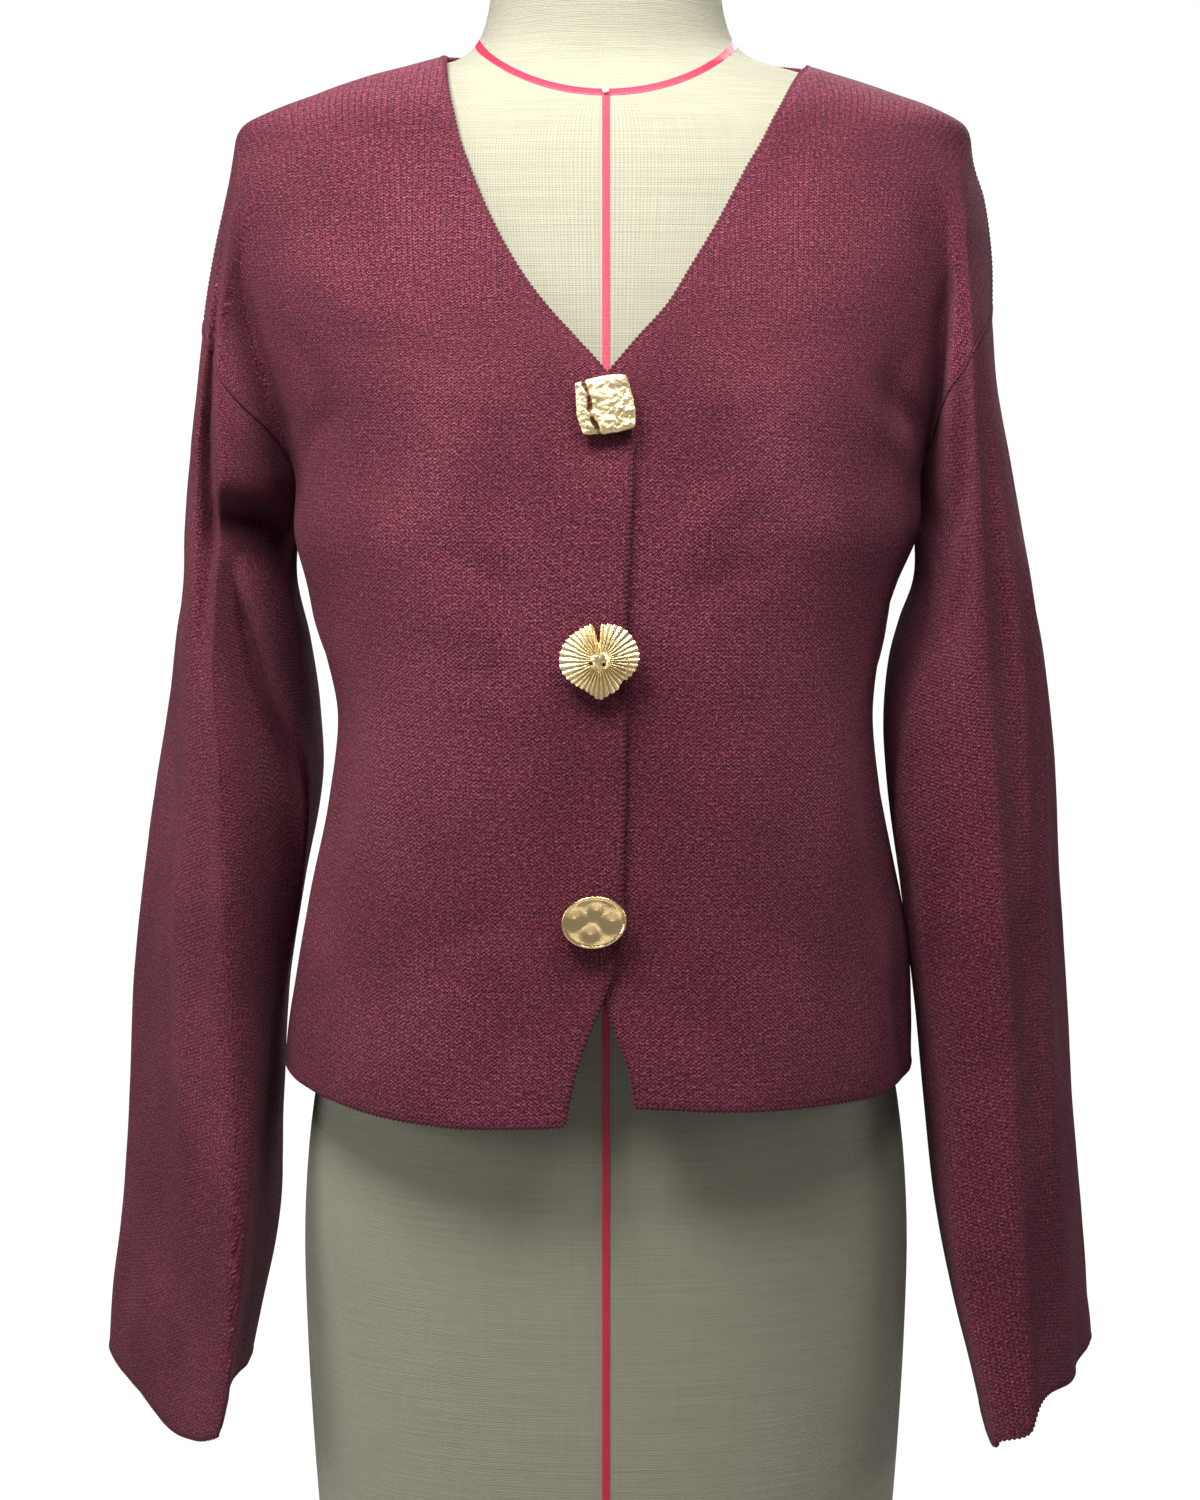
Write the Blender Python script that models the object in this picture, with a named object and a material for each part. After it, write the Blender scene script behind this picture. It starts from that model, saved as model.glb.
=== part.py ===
"""Button cardigan on a limbless dress form: V neck, dropped shoulders, long wide sleeves, three shank buttons.

Frame: metres, +Z up, the front faces -Y, the origin is on the floor under the middle of the part.
The wearer's right is at -X. Every knitted piece is a wall that follows one shared outer surface, read from
the tables below, so that the pieces meet edge to edge at their seams.
"""

import math
from collections import namedtuple

import bmesh
import bpy
from mathutils import Matrix, Vector

# ---- Driving sizes -------------------------------------------------------------------------------------
KNIT = 0.0022  # thickness of the knitted wall
SEAM_GAP = 0.0006  # between two pieces at a seam
FORM_EASE = 0.0032  # from the form's cover to the outside of cloth that lies on it
OVERLAP_LIFT = 0.0028  # the right front's overlap stands this far out over the left front
OVERLAP_REACH = 0.024  # and does so from here to its own edge, fading out beyond

HEM_Z = 0.766
UNDERARM_Z = 1.030
SHOULDER_TIP_Z = 1.2295
FREE_SHOULDER_Z = 1.195  # below it the dropped shoulder hangs free of the form
BACK_NECK_Z = 1.271  # the middle of the back neckline
CUFF_Z = {-1: 0.605, 1: 0.594}  # by side

BASE_RADIUS = 0.195
BASE_HEIGHT = 0.022
POLE_RADIUS = 0.016
COLLAR_RADIUS = 0.034
FORM_BOTTOM_Z = 0.520
NECK_TOP_Z = 1.346

SQUARE_SIDE = 0.0255
LEAF_SPAN = 0.0355
OVAL_WIDTH = 0.0305
OVAL_HEIGHT = 0.0245
SHANK_RADIUS = 0.0030
SHANK_LENGTH = 0.0036

RIGHT, LEFT = -1, 1  # the wearer's sides, as signs of x
FRONT, BACK = -1, 1  # signs of y

# ---- Mesh counts ---------------------------------------------------------------------------------------
NECK_COLUMNS = 4  # from the middle of the back to the neck point
SHOULDER_COLUMNS = 8  # from the neck point to the shoulder's tip
DROP_COLUMNS = 6  # from the shoulder's tip to the armhole
LOWER_ROWS = 8  # from the hem to the underarm
UPPER_ROWS = 14  # from the underarm to the shoulder; the sleeve has as many columns on each face
SLEEVE_ROWS = 24
FORM_COLUMNS = 32

# ---- The dress form: half of its width, and how far its front and back lie from the middle plane --------
FormRow = namedtuple("FormRow", "z half_width front back power")
FORM = [
    FormRow(0.5200, 0.1400, 0.0920, 0.094, 2.30),
    FormRow(0.5800, 0.1450, 0.0960, 0.101, 2.30),
    FormRow(0.6400, 0.1485, 0.1000, 0.109, 2.30),
    FormRow(0.6900, 0.1495, 0.1030, 0.114, 2.30),
    FormRow(0.7400, 0.1460, 0.1020, 0.110, 2.30),
    FormRow(0.7900, 0.1375, 0.0980, 0.099, 2.30),
    FormRow(0.8400, 0.1260, 0.0920, 0.086, 2.30),
    FormRow(0.8900, 0.1170, 0.0890, 0.076, 2.30),
    FormRow(0.9300, 0.1200, 0.0990, 0.077, 2.30),
    FormRow(0.9750, 0.1290, 0.1150, 0.084, 2.30),
    FormRow(1.0200, 0.1380, 0.1245, 0.091, 2.30),
    FormRow(1.0600, 0.1420, 0.1230, 0.096, 2.30),
    FormRow(1.1000, 0.1480, 0.1170, 0.099, 2.30),
    FormRow(1.1400, 0.1580, 0.1080, 0.100, 2.30),
    FormRow(1.1750, 0.1690, 0.0975, 0.098, 2.30),
    FormRow(1.2050, 0.1755, 0.0880, 0.091, 2.30),
    FormRow(1.2240, 0.1735, 0.0800, 0.0845, 2.25),
    FormRow(1.2330, 0.1600, 0.0750, 0.0805, 2.20),
    FormRow(1.2425, 0.1405, 0.0690, 0.076, 2.15),
    FormRow(1.2510, 0.1150, 0.0630, 0.0705, 2.10),
    FormRow(1.2570, 0.0930, 0.0590, 0.069, 2.05),
    FormRow(1.2620, 0.0760, 0.0570, 0.065, 2.00),
    FormRow(1.2720, 0.0640, 0.0550, 0.061, 2.00),
    FormRow(1.2960, 0.0575, 0.0550, 0.057, 2.00),
    FormRow(1.3460, 0.0550, 0.0580, 0.053, 2.00),
]
FORM_SECTIONS = (0.52, 0.58, 0.64, 0.69, 0.74, 0.79, 0.84, 0.89, 0.93, 0.975, 1.02, 1.06, 1.10, 1.14, 1.175, 1.205,
                 1.219, 1.228, 1.236, 1.2425, 1.249, 1.2545, 1.260, 1.267, 1.279, 1.30, 1.346)

# ---- The cardigan's body: half-widths to the sides, or to the shoulder seam above the shoulder's tip ----
BodyRow = namedtuple("BodyRow", "z right_side left_side front back power")
BODY = [
    BodyRow(0.7660, 0.1585, 0.1510, 0.1330, 0.1260, 2.35),
    BodyRow(0.7900, 0.1560, 0.1505, 0.1325, 0.1240, 2.35),
    BodyRow(0.8250, 0.1490, 0.1475, 0.1315, 0.1200, 2.40),
    BodyRow(0.8650, 0.1425, 0.1405, 0.1305, 0.1160, 2.45),
    BodyRow(0.9000, 0.1365, 0.1355, 0.1300, 0.1120, 2.50),
    BodyRow(0.9400, 0.1325, 0.1315, 0.1300, 0.1090, 2.50),
    BodyRow(0.9750, 0.1400, 0.1360, 0.1305, 0.1080, 2.45),
    BodyRow(1.0050, 0.1490, 0.1450, 0.1308, 0.1090, 2.40),
    BodyRow(1.0300, 0.1545, 0.1550, 0.1305, 0.1100, 2.35),
    BodyRow(1.0560, 0.1540, 0.1565, 0.1290, 0.1100, 2.30),
    BodyRow(1.0800, 0.1600, 0.1610, 0.1265, 0.1100, 2.30),
    BodyRow(1.1000, 0.1674, 0.1645, 0.1235, 0.1095, 2.30),
    BodyRow(1.1360, 0.1795, 0.1685, 0.1150, 0.1080, 2.30),
    BodyRow(1.1650, 0.1860, 0.1750, 0.1060, 0.1055, 2.30),
    BodyRow(1.1950, 0.1885, 0.1810, 0.0960, 0.1010, 2.30),
    BodyRow(1.2160, 0.1860, 0.1825, 0.0875, 0.0960, 2.25),
    BodyRow(1.2295, 0.1810, 0.1790, 0.0820, 0.0905, 2.25),
    BodyRow(1.2370, 0.1670, 0.1660, 0.0785, 0.0870, 2.20),
    BodyRow(1.2455, 0.1440, 0.1445, 0.0725, 0.0820, 2.15),
    BodyRow(1.2540, 0.1185, 0.1190, 0.0665, 0.0765, 2.10),
    BodyRow(1.2600, 0.0965, 0.0970, 0.0625, 0.0725, 2.05),
    BodyRow(1.2650, 0.0795, 0.0795, 0.0605, 0.0690, 2.00),
    BodyRow(1.2750, 0.0675, 0.0675, 0.0585, 0.0645, 2.00),
]

# Where the chest and the back meet the arm, above the underarm: the valley's distance from the side plane.
ValleyRow = namedtuple("ValleyRow", "z front back")
RIGHT_VALLEY = [
    ValleyRow(1.0300, 0.004, 0.004),
    ValleyRow(1.0560, 0.022, 0.022),
    ValleyRow(1.0800, 0.036, 0.038),
    ValleyRow(1.1000, 0.043, 0.048),
    ValleyRow(1.1360, 0.049, 0.056),
    ValleyRow(1.1650, 0.052, 0.058),
    ValleyRow(1.1950, 0.052, 0.056),
    ValleyRow(1.2295, 0.046, 0.048),
]
LEFT_VALLEY = [
    ValleyRow(1.0300, 0.004, 0.004),
    ValleyRow(1.0560, 0.018, 0.022),
    ValleyRow(1.0800, 0.032, 0.038),
    ValleyRow(1.1000, 0.040, 0.048),
    ValleyRow(1.1360, 0.048, 0.056),
    ValleyRow(1.1650, 0.056, 0.058),
    ValleyRow(1.1950, 0.060, 0.056),
    ValleyRow(1.2295, 0.050, 0.048),
]

# The arm's outer line and its two long folds, one facing forward and one facing back.
FoldRow = namedtuple("FoldRow", "z outer fold_x fold_y heel_x heel_y")
RIGHT_FOLDS = [
    FoldRow(0.590, 0.2340, 0.1865, -0.0800, 0.2585, 0.058),
    FoldRow(0.630, 0.2300, 0.1790, -0.0770, 0.2560, 0.060),
    FoldRow(0.680, 0.2250, 0.1770, -0.0690, 0.2505, 0.062),
    FoldRow(0.740, 0.2220, 0.1780, -0.0600, 0.2455, 0.062),
    FoldRow(0.800, 0.2205, 0.1800, -0.0570, 0.2410, 0.060),
    FoldRow(0.850, 0.2180, 0.1830, -0.0580, 0.2360, 0.059),
    FoldRow(0.900, 0.2155, 0.1850, -0.0600, 0.2300, 0.060),
    FoldRow(0.940, 0.2145, 0.1860, -0.0615, 0.2245, 0.063),
    FoldRow(0.975, 0.2145, 0.1865, -0.0625, 0.2185, 0.065),
    FoldRow(1.005, 0.2115, 0.1855, -0.0635, 0.2125, 0.066),
    FoldRow(1.030, 0.2110, 0.1840, -0.0635, 0.2075, 0.065),
    FoldRow(1.070, 0.2075, 0.1865, -0.0610, 0.2020, 0.064),
    FoldRow(1.100, 0.2040, 0.1865, -0.0600, 0.1975, 0.062),
    FoldRow(1.136, 0.2005, 0.1850, -0.0560, 0.1930, 0.058),
    FoldRow(1.165, 0.1960, 0.1830, -0.0490, 0.1880, 0.053),
    FoldRow(1.195, 0.1895, 0.1815, -0.0390, 0.1815, 0.046),
    FoldRow(1.230, 0.1810, 0.1760, -0.0260, 0.1760, 0.026),
]
LEFT_FOLDS = [
    FoldRow(0.590, 0.2370, 0.2005, -0.0820, 0.2510, 0.056),
    FoldRow(0.620, 0.2360, 0.2010, -0.0780, 0.2500, 0.058),
    FoldRow(0.655, 0.2340, 0.2005, -0.0740, 0.2475, 0.060),
    FoldRow(0.700, 0.2300, 0.1985, -0.0700, 0.2430, 0.062),
    FoldRow(0.745, 0.2260, 0.1950, -0.0680, 0.2395, 0.062),
    FoldRow(0.800, 0.2220, 0.1915, -0.0660, 0.2345, 0.062),
    FoldRow(0.850, 0.2200, 0.1895, -0.0650, 0.2310, 0.062),
    FoldRow(0.900, 0.2190, 0.1865, -0.0660, 0.2300, 0.063),
    FoldRow(0.935, 0.2180, 0.1840, -0.0670, 0.2275, 0.064),
    FoldRow(0.965, 0.2165, 0.1815, -0.0680, 0.2235, 0.065),
    FoldRow(0.995, 0.2135, 0.1800, -0.0680, 0.2175, 0.066),
    FoldRow(1.030, 0.2080, 0.1780, -0.0670, 0.2095, 0.066),
    FoldRow(1.070, 0.2010, 0.1765, -0.0660, 0.2015, 0.065),
    FoldRow(1.100, 0.1955, 0.1755, -0.0640, 0.1960, 0.062),
    FoldRow(1.136, 0.1930, 0.1750, -0.0595, 0.1915, 0.058),
    FoldRow(1.165, 0.1925, 0.1735, -0.0535, 0.1890, 0.052),
    FoldRow(1.195, 0.1885, 0.1730, -0.0440, 0.1840, 0.045),
    FoldRow(1.230, 0.1790, 0.1740, -0.0260, 0.1740, 0.026),
]

# Rucks along the arm: the share of the way round at which each lies, how far it is pushed outwards and stands
# out from the arm's face, and its reach.
RuckRow = namedtuple("RuckRow", "z share out lift reach")
RIGHT_LOBE = [  # the arm's front, which comes out from under the shelf and dies away at the elbow
    RuckRow(0.870, 0.10, 0.000, 0.000, 0.080),
    RuckRow(0.895, 0.12, 0.000, 0.005, 0.080),
    RuckRow(0.915, 0.16, 0.000, 0.010, 0.080),
    RuckRow(0.945, 0.23, 0.001, 0.009, 0.080),
    RuckRow(0.985, 0.28, 0.002, 0.008, 0.080),
    RuckRow(1.005, 0.31, 0.001, 0.006, 0.080),
    RuckRow(1.025, 0.33, 0.000, 0.000, 0.080),
]
RIGHT_LAP = [  # the deep fold that it laps over
    RuckRow(0.845, 0.19, 0.000, 0.000, 0.090),
    RuckRow(0.870, 0.21, 0.000, -0.005, 0.090),
    RuckRow(0.895, 0.25, 0.000, -0.011, 0.085),
    RuckRow(0.915, 0.29, 0.000, -0.017, 0.085),
    RuckRow(0.945, 0.36, -0.001, -0.022, 0.085),
    RuckRow(0.985, 0.41, -0.002, -0.021, 0.080),
    RuckRow(1.005, 0.44, -0.001, -0.014, 0.080),
    RuckRow(1.025, 0.47, 0.000, -0.006, 0.080),
    RuckRow(1.045, 0.50, 0.000, 0.000, 0.080),
]
RIGHT_SIDE = [  # a trough outside the ridge of the dropped shoulder
    RuckRow(0.950, 0.62, 0.000, 0.000, 0.080),
    RuckRow(1.000, 0.62, 0.000, -0.007, 0.080),
    RuckRow(1.040, 0.62, 0.000, -0.013, 0.075),
    RuckRow(1.080, 0.62, 0.000, -0.011, 0.070),
    RuckRow(1.130, 0.62, 0.000, -0.005, 0.070),
    RuckRow(1.180, 0.62, 0.000, 0.000, 0.070),
]
RIGHT_SWELL = [  # the arm's rounded outer side
    RuckRow(0.620, 0.77, 0.000, 0.000, 0.140),
    RuckRow(0.720, 0.77, 0.000, 0.004, 0.140),
    RuckRow(0.850, 0.77, 0.001, 0.007, 0.140),
    RuckRow(0.980, 0.77, 0.001, 0.008, 0.130),
    RuckRow(1.060, 0.77, 0.001, 0.007, 0.120),
    RuckRow(1.140, 0.77, 0.000, 0.000, 0.120),
]
RIGHT_SHELF = [  # the lower edge of the dropped shoulder, and the hollow under it
    RuckRow(0.980, 0.30, 0.000, 0.000, 0.180),
    RuckRow(1.000, 0.30, 0.000, -0.004, 0.180),
    RuckRow(1.016, 0.31, 0.001, -0.013, 0.180),
    RuckRow(1.028, 0.32, 0.001, -0.021, 0.180),
    RuckRow(1.037, 0.33, 0.001, -0.022, 0.180),
    RuckRow(1.044, 0.33, 0.000, -0.004, 0.180),
    RuckRow(1.051, 0.32, 0.000, 0.011, 0.180),
    RuckRow(1.066, 0.31, 0.000, 0.013, 0.180),
    RuckRow(1.095, 0.30, 0.000, 0.007, 0.180),
    RuckRow(1.130, 0.30, 0.000, 0.000, 0.180),
]
LEFT_BROW = [  # the round inner lip of the arm's front, over the valley
    RuckRow(0.975, 0.24, 0.000, 0.000, 0.120),
    RuckRow(1.005, 0.24, -0.002, 0.005, 0.120),
    RuckRow(1.040, 0.23, -0.004, 0.013, 0.120),
    RuckRow(1.080, 0.22, -0.005, 0.018, 0.120),
    RuckRow(1.120, 0.22, -0.004, 0.015, 0.120),
    RuckRow(1.155, 0.22, -0.001, 0.006, 0.120),
    RuckRow(1.190, 0.22, 0.000, 0.000, 0.120),
]
LEFT_TROUGH = [  # a shallow trough outside the arm's front ridge
    RuckRow(0.620, 0.62, 0.000, 0.000, 0.080),
    RuckRow(0.700, 0.62, 0.000, -0.003, 0.080),
    RuckRow(0.850, 0.62, 0.000, -0.004, 0.080),
    RuckRow(0.980, 0.61, 0.000, -0.005, 0.070),
    RuckRow(1.080, 0.61, 0.000, -0.005, 0.060),
    RuckRow(1.170, 0.60, 0.000, 0.000, 0.060),
]
LEFT_SWELL = [  # the arm's rounded outer side
    RuckRow(0.610, 0.80, 0.002, 0.008, 0.160),
    RuckRow(0.720, 0.80, 0.003, 0.012, 0.160),
    RuckRow(0.850, 0.80, 0.003, 0.013, 0.160),
    RuckRow(0.980, 0.80, 0.003, 0.012, 0.160),
    RuckRow(1.060, 0.80, 0.001, 0.007, 0.150),
    RuckRow(1.140, 0.80, 0.000, 0.000, 0.150),
]
BACK_LAP = [  # a softer fold down the back of each arm
    RuckRow(0.700, 0.33, 0.000, 0.000, 0.110),
    RuckRow(0.800, 0.33, 0.000, -0.005, 0.110),
    RuckRow(0.920, 0.32, 0.000, -0.008, 0.110),
    RuckRow(1.020, 0.31, 0.000, -0.006, 0.110),
    RuckRow(1.100, 0.30, 0.000, -0.003, 0.110),
    RuckRow(1.150, 0.30, 0.000, 0.000, 0.110),
]
RUCKS = {
    (RIGHT, FRONT): (RIGHT_LOBE, RIGHT_LAP, RIGHT_SIDE, RIGHT_SWELL, RIGHT_SHELF),
    (LEFT, FRONT): (LEFT_BROW, LEFT_TROUGH, LEFT_SWELL),
    (RIGHT, BACK): (BACK_LAP,),
    (LEFT, BACK): (BACK_LAP,),
}

# The sleeve's inner face below the underarm: its front and back corners, next to the body.
InnerRow = namedtuple("InnerRow", "z front_x front_y back_x back_y")
RIGHT_INNER = [
    InnerRow(0.590, 0.1860, -0.042, 0.1890, 0.040),
    InnerRow(0.630, 0.1800, -0.036, 0.1800, 0.043),
    InnerRow(0.680, 0.1710, -0.026, 0.1710, 0.045),
    InnerRow(0.740, 0.1660, -0.014, 0.1700, 0.048),
    InnerRow(0.800, 0.1630, -0.006, 0.1670, 0.050),
    InnerRow(0.850, 0.1560, -0.004, 0.1590, 0.048),
    InnerRow(0.900, 0.1495, -0.007, 0.1490, 0.044),
    InnerRow(0.940, 0.1490, -0.010, 0.1495, 0.036),
    InnerRow(0.975, 0.1530, -0.012, 0.1530, 0.028),
    InnerRow(1.005, 0.1575, -0.0120, 0.1575, 0.0160),
    InnerRow(1.030, 0.1545, -0.004, 0.1545, 0.004),
]
LEFT_INNER = [
    InnerRow(0.590, 0.1855, -0.076, 0.1960, 0.038),
    InnerRow(0.620, 0.1795, -0.072, 0.1900, 0.040),
    InnerRow(0.655, 0.1715, -0.067, 0.1825, 0.042),
    InnerRow(0.700, 0.1630, -0.063, 0.1755, 0.045),
    InnerRow(0.745, 0.1590, -0.060, 0.1705, 0.048),
    InnerRow(0.800, 0.1535, -0.057, 0.1660, 0.048),
    InnerRow(0.850, 0.1480, -0.054, 0.1590, 0.042),
    InnerRow(0.900, 0.1430, -0.051, 0.1500, 0.034),
    InnerRow(0.935, 0.1440, -0.051, 0.1450, 0.026),
    InnerRow(0.965, 0.1500, -0.050, 0.1455, 0.020),
    InnerRow(0.985, 0.1560, -0.046, 0.1500, 0.018),
    InnerRow(1.005, 0.1590, -0.036, 0.1565, 0.012),
    InnerRow(1.030, 0.1550, -0.004, 0.1550, 0.004),
]

# The cuff's edge: how much higher than its lowest place it is, by the share of the way round the arm.
CuffRow = namedtuple("CuffRow", "share right_front right_back left_front left_back")
CUFF = [
    CuffRow(0.00, 0.006, 0.006, 0.001, 0.001),
    CuffRow(0.15, 0.010, 0.005, 0.000, 0.003),
    CuffRow(0.30, 0.010, 0.003, 0.002, 0.006),
    CuffRow(0.42, 0.005, 0.001, 0.010, 0.010),
    CuffRow(0.50, 0.001, 0.000, 0.015, 0.013),
    CuffRow(0.56, -0.002, -0.001, 0.024, 0.015),
    CuffRow(0.64, -0.006, -0.002, 0.027, 0.017),
    CuffRow(0.78, -0.010, -0.004, 0.025, 0.019),
    CuffRow(1.00, -0.006, -0.006, 0.021, 0.021),
]

# The armhole seam, from the underarm at step 0 to the shoulder line at step 1: its share of the way round the
# arm from the valley to the outer line, and its height. It climbs in the valley before it turns outwards.
SeamRow = namedtuple("SeamRow", "step share right_z left_z")
ARMHOLE = [
    SeamRow(0.00, 0.00, UNDERARM_Z, UNDERARM_Z),
    SeamRow(0.08, 0.00, 1.045, 1.047),
    SeamRow(0.16, 0.01, 1.060, 1.063),
    SeamRow(0.26, 0.08, 1.074, 1.079),
    SeamRow(0.36, 0.19, 1.085, 1.093),
    SeamRow(0.50, 0.36, 1.099, 1.109),
    SeamRow(0.65, 0.56, 1.112, 1.120),
    SeamRow(0.82, 0.78, 1.124, 1.131),
    SeamRow(1.00, 1.00, 1.133, 1.141),
]
SHARE_SETTLES = 0.2  # the share of the sleeve's length over which its columns spread evenly

# The fronts' inner edges: the cutaway under the last button, the overlap, and the V of the neckline.
EdgeRow = namedtuple("EdgeRow", "z x")
RIGHT_EDGE = [
    EdgeRow(0.7660, -0.0190),
    EdgeRow(0.7850, -0.0155),
    EdgeRow(0.8050, -0.0090),
    EdgeRow(0.8250, -0.0010),
    EdgeRow(0.8450, 0.0055),
    EdgeRow(0.8700, 0.0065),
    EdgeRow(0.9100, 0.0075),
    EdgeRow(1.0000, 0.0085),
    EdgeRow(1.0700, 0.0115),
    EdgeRow(1.0880, 0.0095),
    EdgeRow(1.1050, 0.0000),
    EdgeRow(1.1220, -0.0150),
    EdgeRow(1.1370, -0.0285),
    EdgeRow(1.1530, -0.0405),
    EdgeRow(1.1760, -0.0535),
    EdgeRow(1.2030, -0.0650),
    EdgeRow(1.2310, -0.0735),
    EdgeRow(1.2500, -0.0775),
    EdgeRow(1.2650, -0.0795),
]
LEFT_EDGE = [
    EdgeRow(0.7660, 0.0135),
    EdgeRow(0.7850, 0.0110),
    EdgeRow(0.8050, 0.0050),
    EdgeRow(0.8250, -0.0020),
    EdgeRow(0.8450, -0.0110),
    EdgeRow(0.8700, -0.0180),
    EdgeRow(0.9100, -0.0200),
    EdgeRow(1.0700, -0.0200),
    EdgeRow(1.0880, -0.0140),
    EdgeRow(1.1050, 0.0010),
    EdgeRow(1.1220, 0.0155),
    EdgeRow(1.1370, 0.0290),
    EdgeRow(1.1530, 0.0390),
    EdgeRow(1.1760, 0.0528),
    EdgeRow(1.2030, 0.0672),
    EdgeRow(1.2310, 0.0826),
    EdgeRow(1.2480, 0.0920),
    EdgeRow(1.2590, 0.1005),
]
NECK_POINT_Z = {RIGHT: RIGHT_EDGE[-1].z, LEFT: LEFT_EDGE[-1].z}

# How far the hem lies above HEM_Z, by the distance from the middle plane.
HemRow = namedtuple("HemRow", "x right_front left_front back")
HEM = [
    HemRow(0.00, 0.0010, 0.0080, 0.002),
    HemRow(0.02, 0.0000, 0.0075, 0.002),
    HemRow(0.06, -0.0030, 0.0045, 0.001),
    HemRow(0.10, -0.0020, 0.0030, 0.001),
    HemRow(0.13, 0.0010, 0.0020, 0.002),
    HemRow(0.16, 0.0045, 0.0045, 0.004),
]

# ---- Smooth reading of the tables ----------------------------------------------------------------------


FOLD_ROUNDNESS = 0.78  # 1 gives wide round folds, less gives tighter ones


def smooth_step(t):
    t = min(1.0, max(0.0, t))
    return t * t * (3.0 - 2.0 * t)


def read_table(rows, key):
    """The row at `key`, with every column read from a smooth curve through the table's rows."""
    key = min(max(key, rows[0][0]), rows[-1][0])
    i = 0
    while i < len(rows) - 2 and rows[i + 1][0] <= key:
        i += 1
    before, after = max(i - 1, 0), min(i + 2, len(rows) - 1)
    a, b, c, d = rows[before], rows[i], rows[i + 1], rows[after]
    step = c[0] - b[0]
    t = (key - b[0]) / step
    t2, t3 = t * t, t * t * t
    ease_in, ease_out = (t3 - 2 * t2 + t) * step, (t3 - t2) * step
    share_b, share_c = 2 * t3 - 3 * t2 + 1, 3 * t2 - 2 * t3
    values = [
        share_b * vb + share_c * vc + ease_in * (vc - va) / (c[0] - a[0]) + ease_out * (vd - vb) / (d[0] - b[0])
        for va, vb, vc, vd in zip(a[1:], b[1:], c[1:], d[1:])
    ]
    return type(b)(key, *values)


def oval(angle, half_width, depth, power):
    """A point of a rounded section: x and distance from the side plane; angle 0 is the middle."""
    s, c = math.sin(angle), math.cos(angle)
    return math.copysign(abs(s) ** (2 / power), s) * half_width, max(c, 0.0) ** (2 / power) * depth


def span(a, b, c, d, t):
    """A smooth curve from b to c that comes from a and goes on to d."""
    step = (c - b).length
    leave = (c - a) / ((b - a).length + step) * step * FOLD_ROUNDNESS
    arrive = (d - b) / (step + (d - c).length) * step * FOLD_ROUNDNESS
    t2, t3 = t * t, t * t * t
    return (2 * t3 - 3 * t2 + 1) * b + (t3 - 2 * t2 + t) * leave + (3 * t2 - 2 * t3) * c + (t3 - t2) * arrive


# ---- The cloth's outer surface -------------------------------------------------------------------------
VALLEY_SOFTNESS = 0.22  # the share of the way to the valley over which its crease is rounded


def body_row(side, face, z):
    row = read_table(BODY, z)
    half_width = row.right_side if side == RIGHT else row.left_side
    return half_width, row.front if face == FRONT else row.back, row.power


def valley_angle(side, face, z):
    """Where the body's section meets the arm; a quarter turn below the underarm."""
    if z <= UNDERARM_Z:
        return math.pi / 2
    valley = read_table(RIGHT_VALLEY if side == RIGHT else LEFT_VALLEY, z)
    _, depth, power = body_row(side, face, z)
    inset = (valley.front if face == FRONT else valley.back) - RIGHT_VALLEY[0].front
    return math.acos((inset / depth) ** (power / 2)) if inset > 0 else math.pi / 2


def chest_point(side, face, z, share):
    """The body's outside from the middle at share 0 to the valley, or the side seam, at share 1."""
    half_width, depth, power = body_row(side, face, z)
    x, y = oval(share * valley_angle(side, face, z), half_width, depth, power)
    return Vector((x, face * y))


def arm_corners(side, face, z):
    """The arm's corners in turn round the side: other valley, this valley, this fold, outer, other fold."""
    folds = read_table(RIGHT_FOLDS if side == RIGHT else LEFT_FOLDS, z)
    fold, heel = Vector((folds.fold_x, folds.fold_y)), Vector((folds.heel_x, folds.heel_y))
    if z < UNDERARM_Z:
        inner = read_table(RIGHT_INNER if side == RIGHT else LEFT_INNER, z)
        near, far = Vector((inner.front_x, inner.front_y)), Vector((inner.back_x, inner.back_y))
        if face == BACK:
            near, far = far, near
    else:
        near, far = chest_point(side, face, z, 1.0), chest_point(side, -face, z, 1.0)
        lift = smooth_step((z - UNDERARM_Z) / 0.06)
        far = far.lerp(chest_point(side, face, z, 0.8), lift)
    outer = Vector((folds.outer, 0.0))
    return (far, near, fold, outer, heel) if face == FRONT else (far, near, heel, outer, fold)


def arm_point(side, face, z, share):
    """The arm's outside from share 0, at the valley or under the arm, by the fold at 0.5, to the outer line."""
    far, near, fold, outer, other = arm_corners(side, face, z)
    if share >= 0.5:
        point = span(near, fold, outer, other, share * 2 - 1)
    elif z < UNDERARM_Z:
        bridge = (near - far).length / 2
        part = bridge / (bridge + (fold - near).length)
        if share * 2 < part:
            point = span(other, far, near, fold, 0.5 + share / part)
        else:
            point = span(far, near, fold, outer, (share * 2 - part) / (1 - part))
    else:
        point = span(far, near, fold, outer, share * 2)
    settled = smooth_step(share / 0.15) * smooth_step((1 - share) / 0.15)
    for row in (read_table(rows, z) for rows in RUCKS[side, face]):
        swell = settled * math.exp(-(((share - row.share) / row.reach) ** 2))
        point = point + Vector((row.out, face * row.lift)) * swell
    if z > FREE_SHOULDER_Z:
        start = valley_angle(side, face, z)
        x, y = oval(start + (math.pi / 2 - start) * share, *body_row(side, face, z))
        fade = smooth_step((z - FREE_SHOULDER_Z) / (SHOULDER_TIP_Z - FREE_SHOULDER_Z))
        point = point.lerp(Vector((x, face * y)), fade)
    return point


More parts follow.
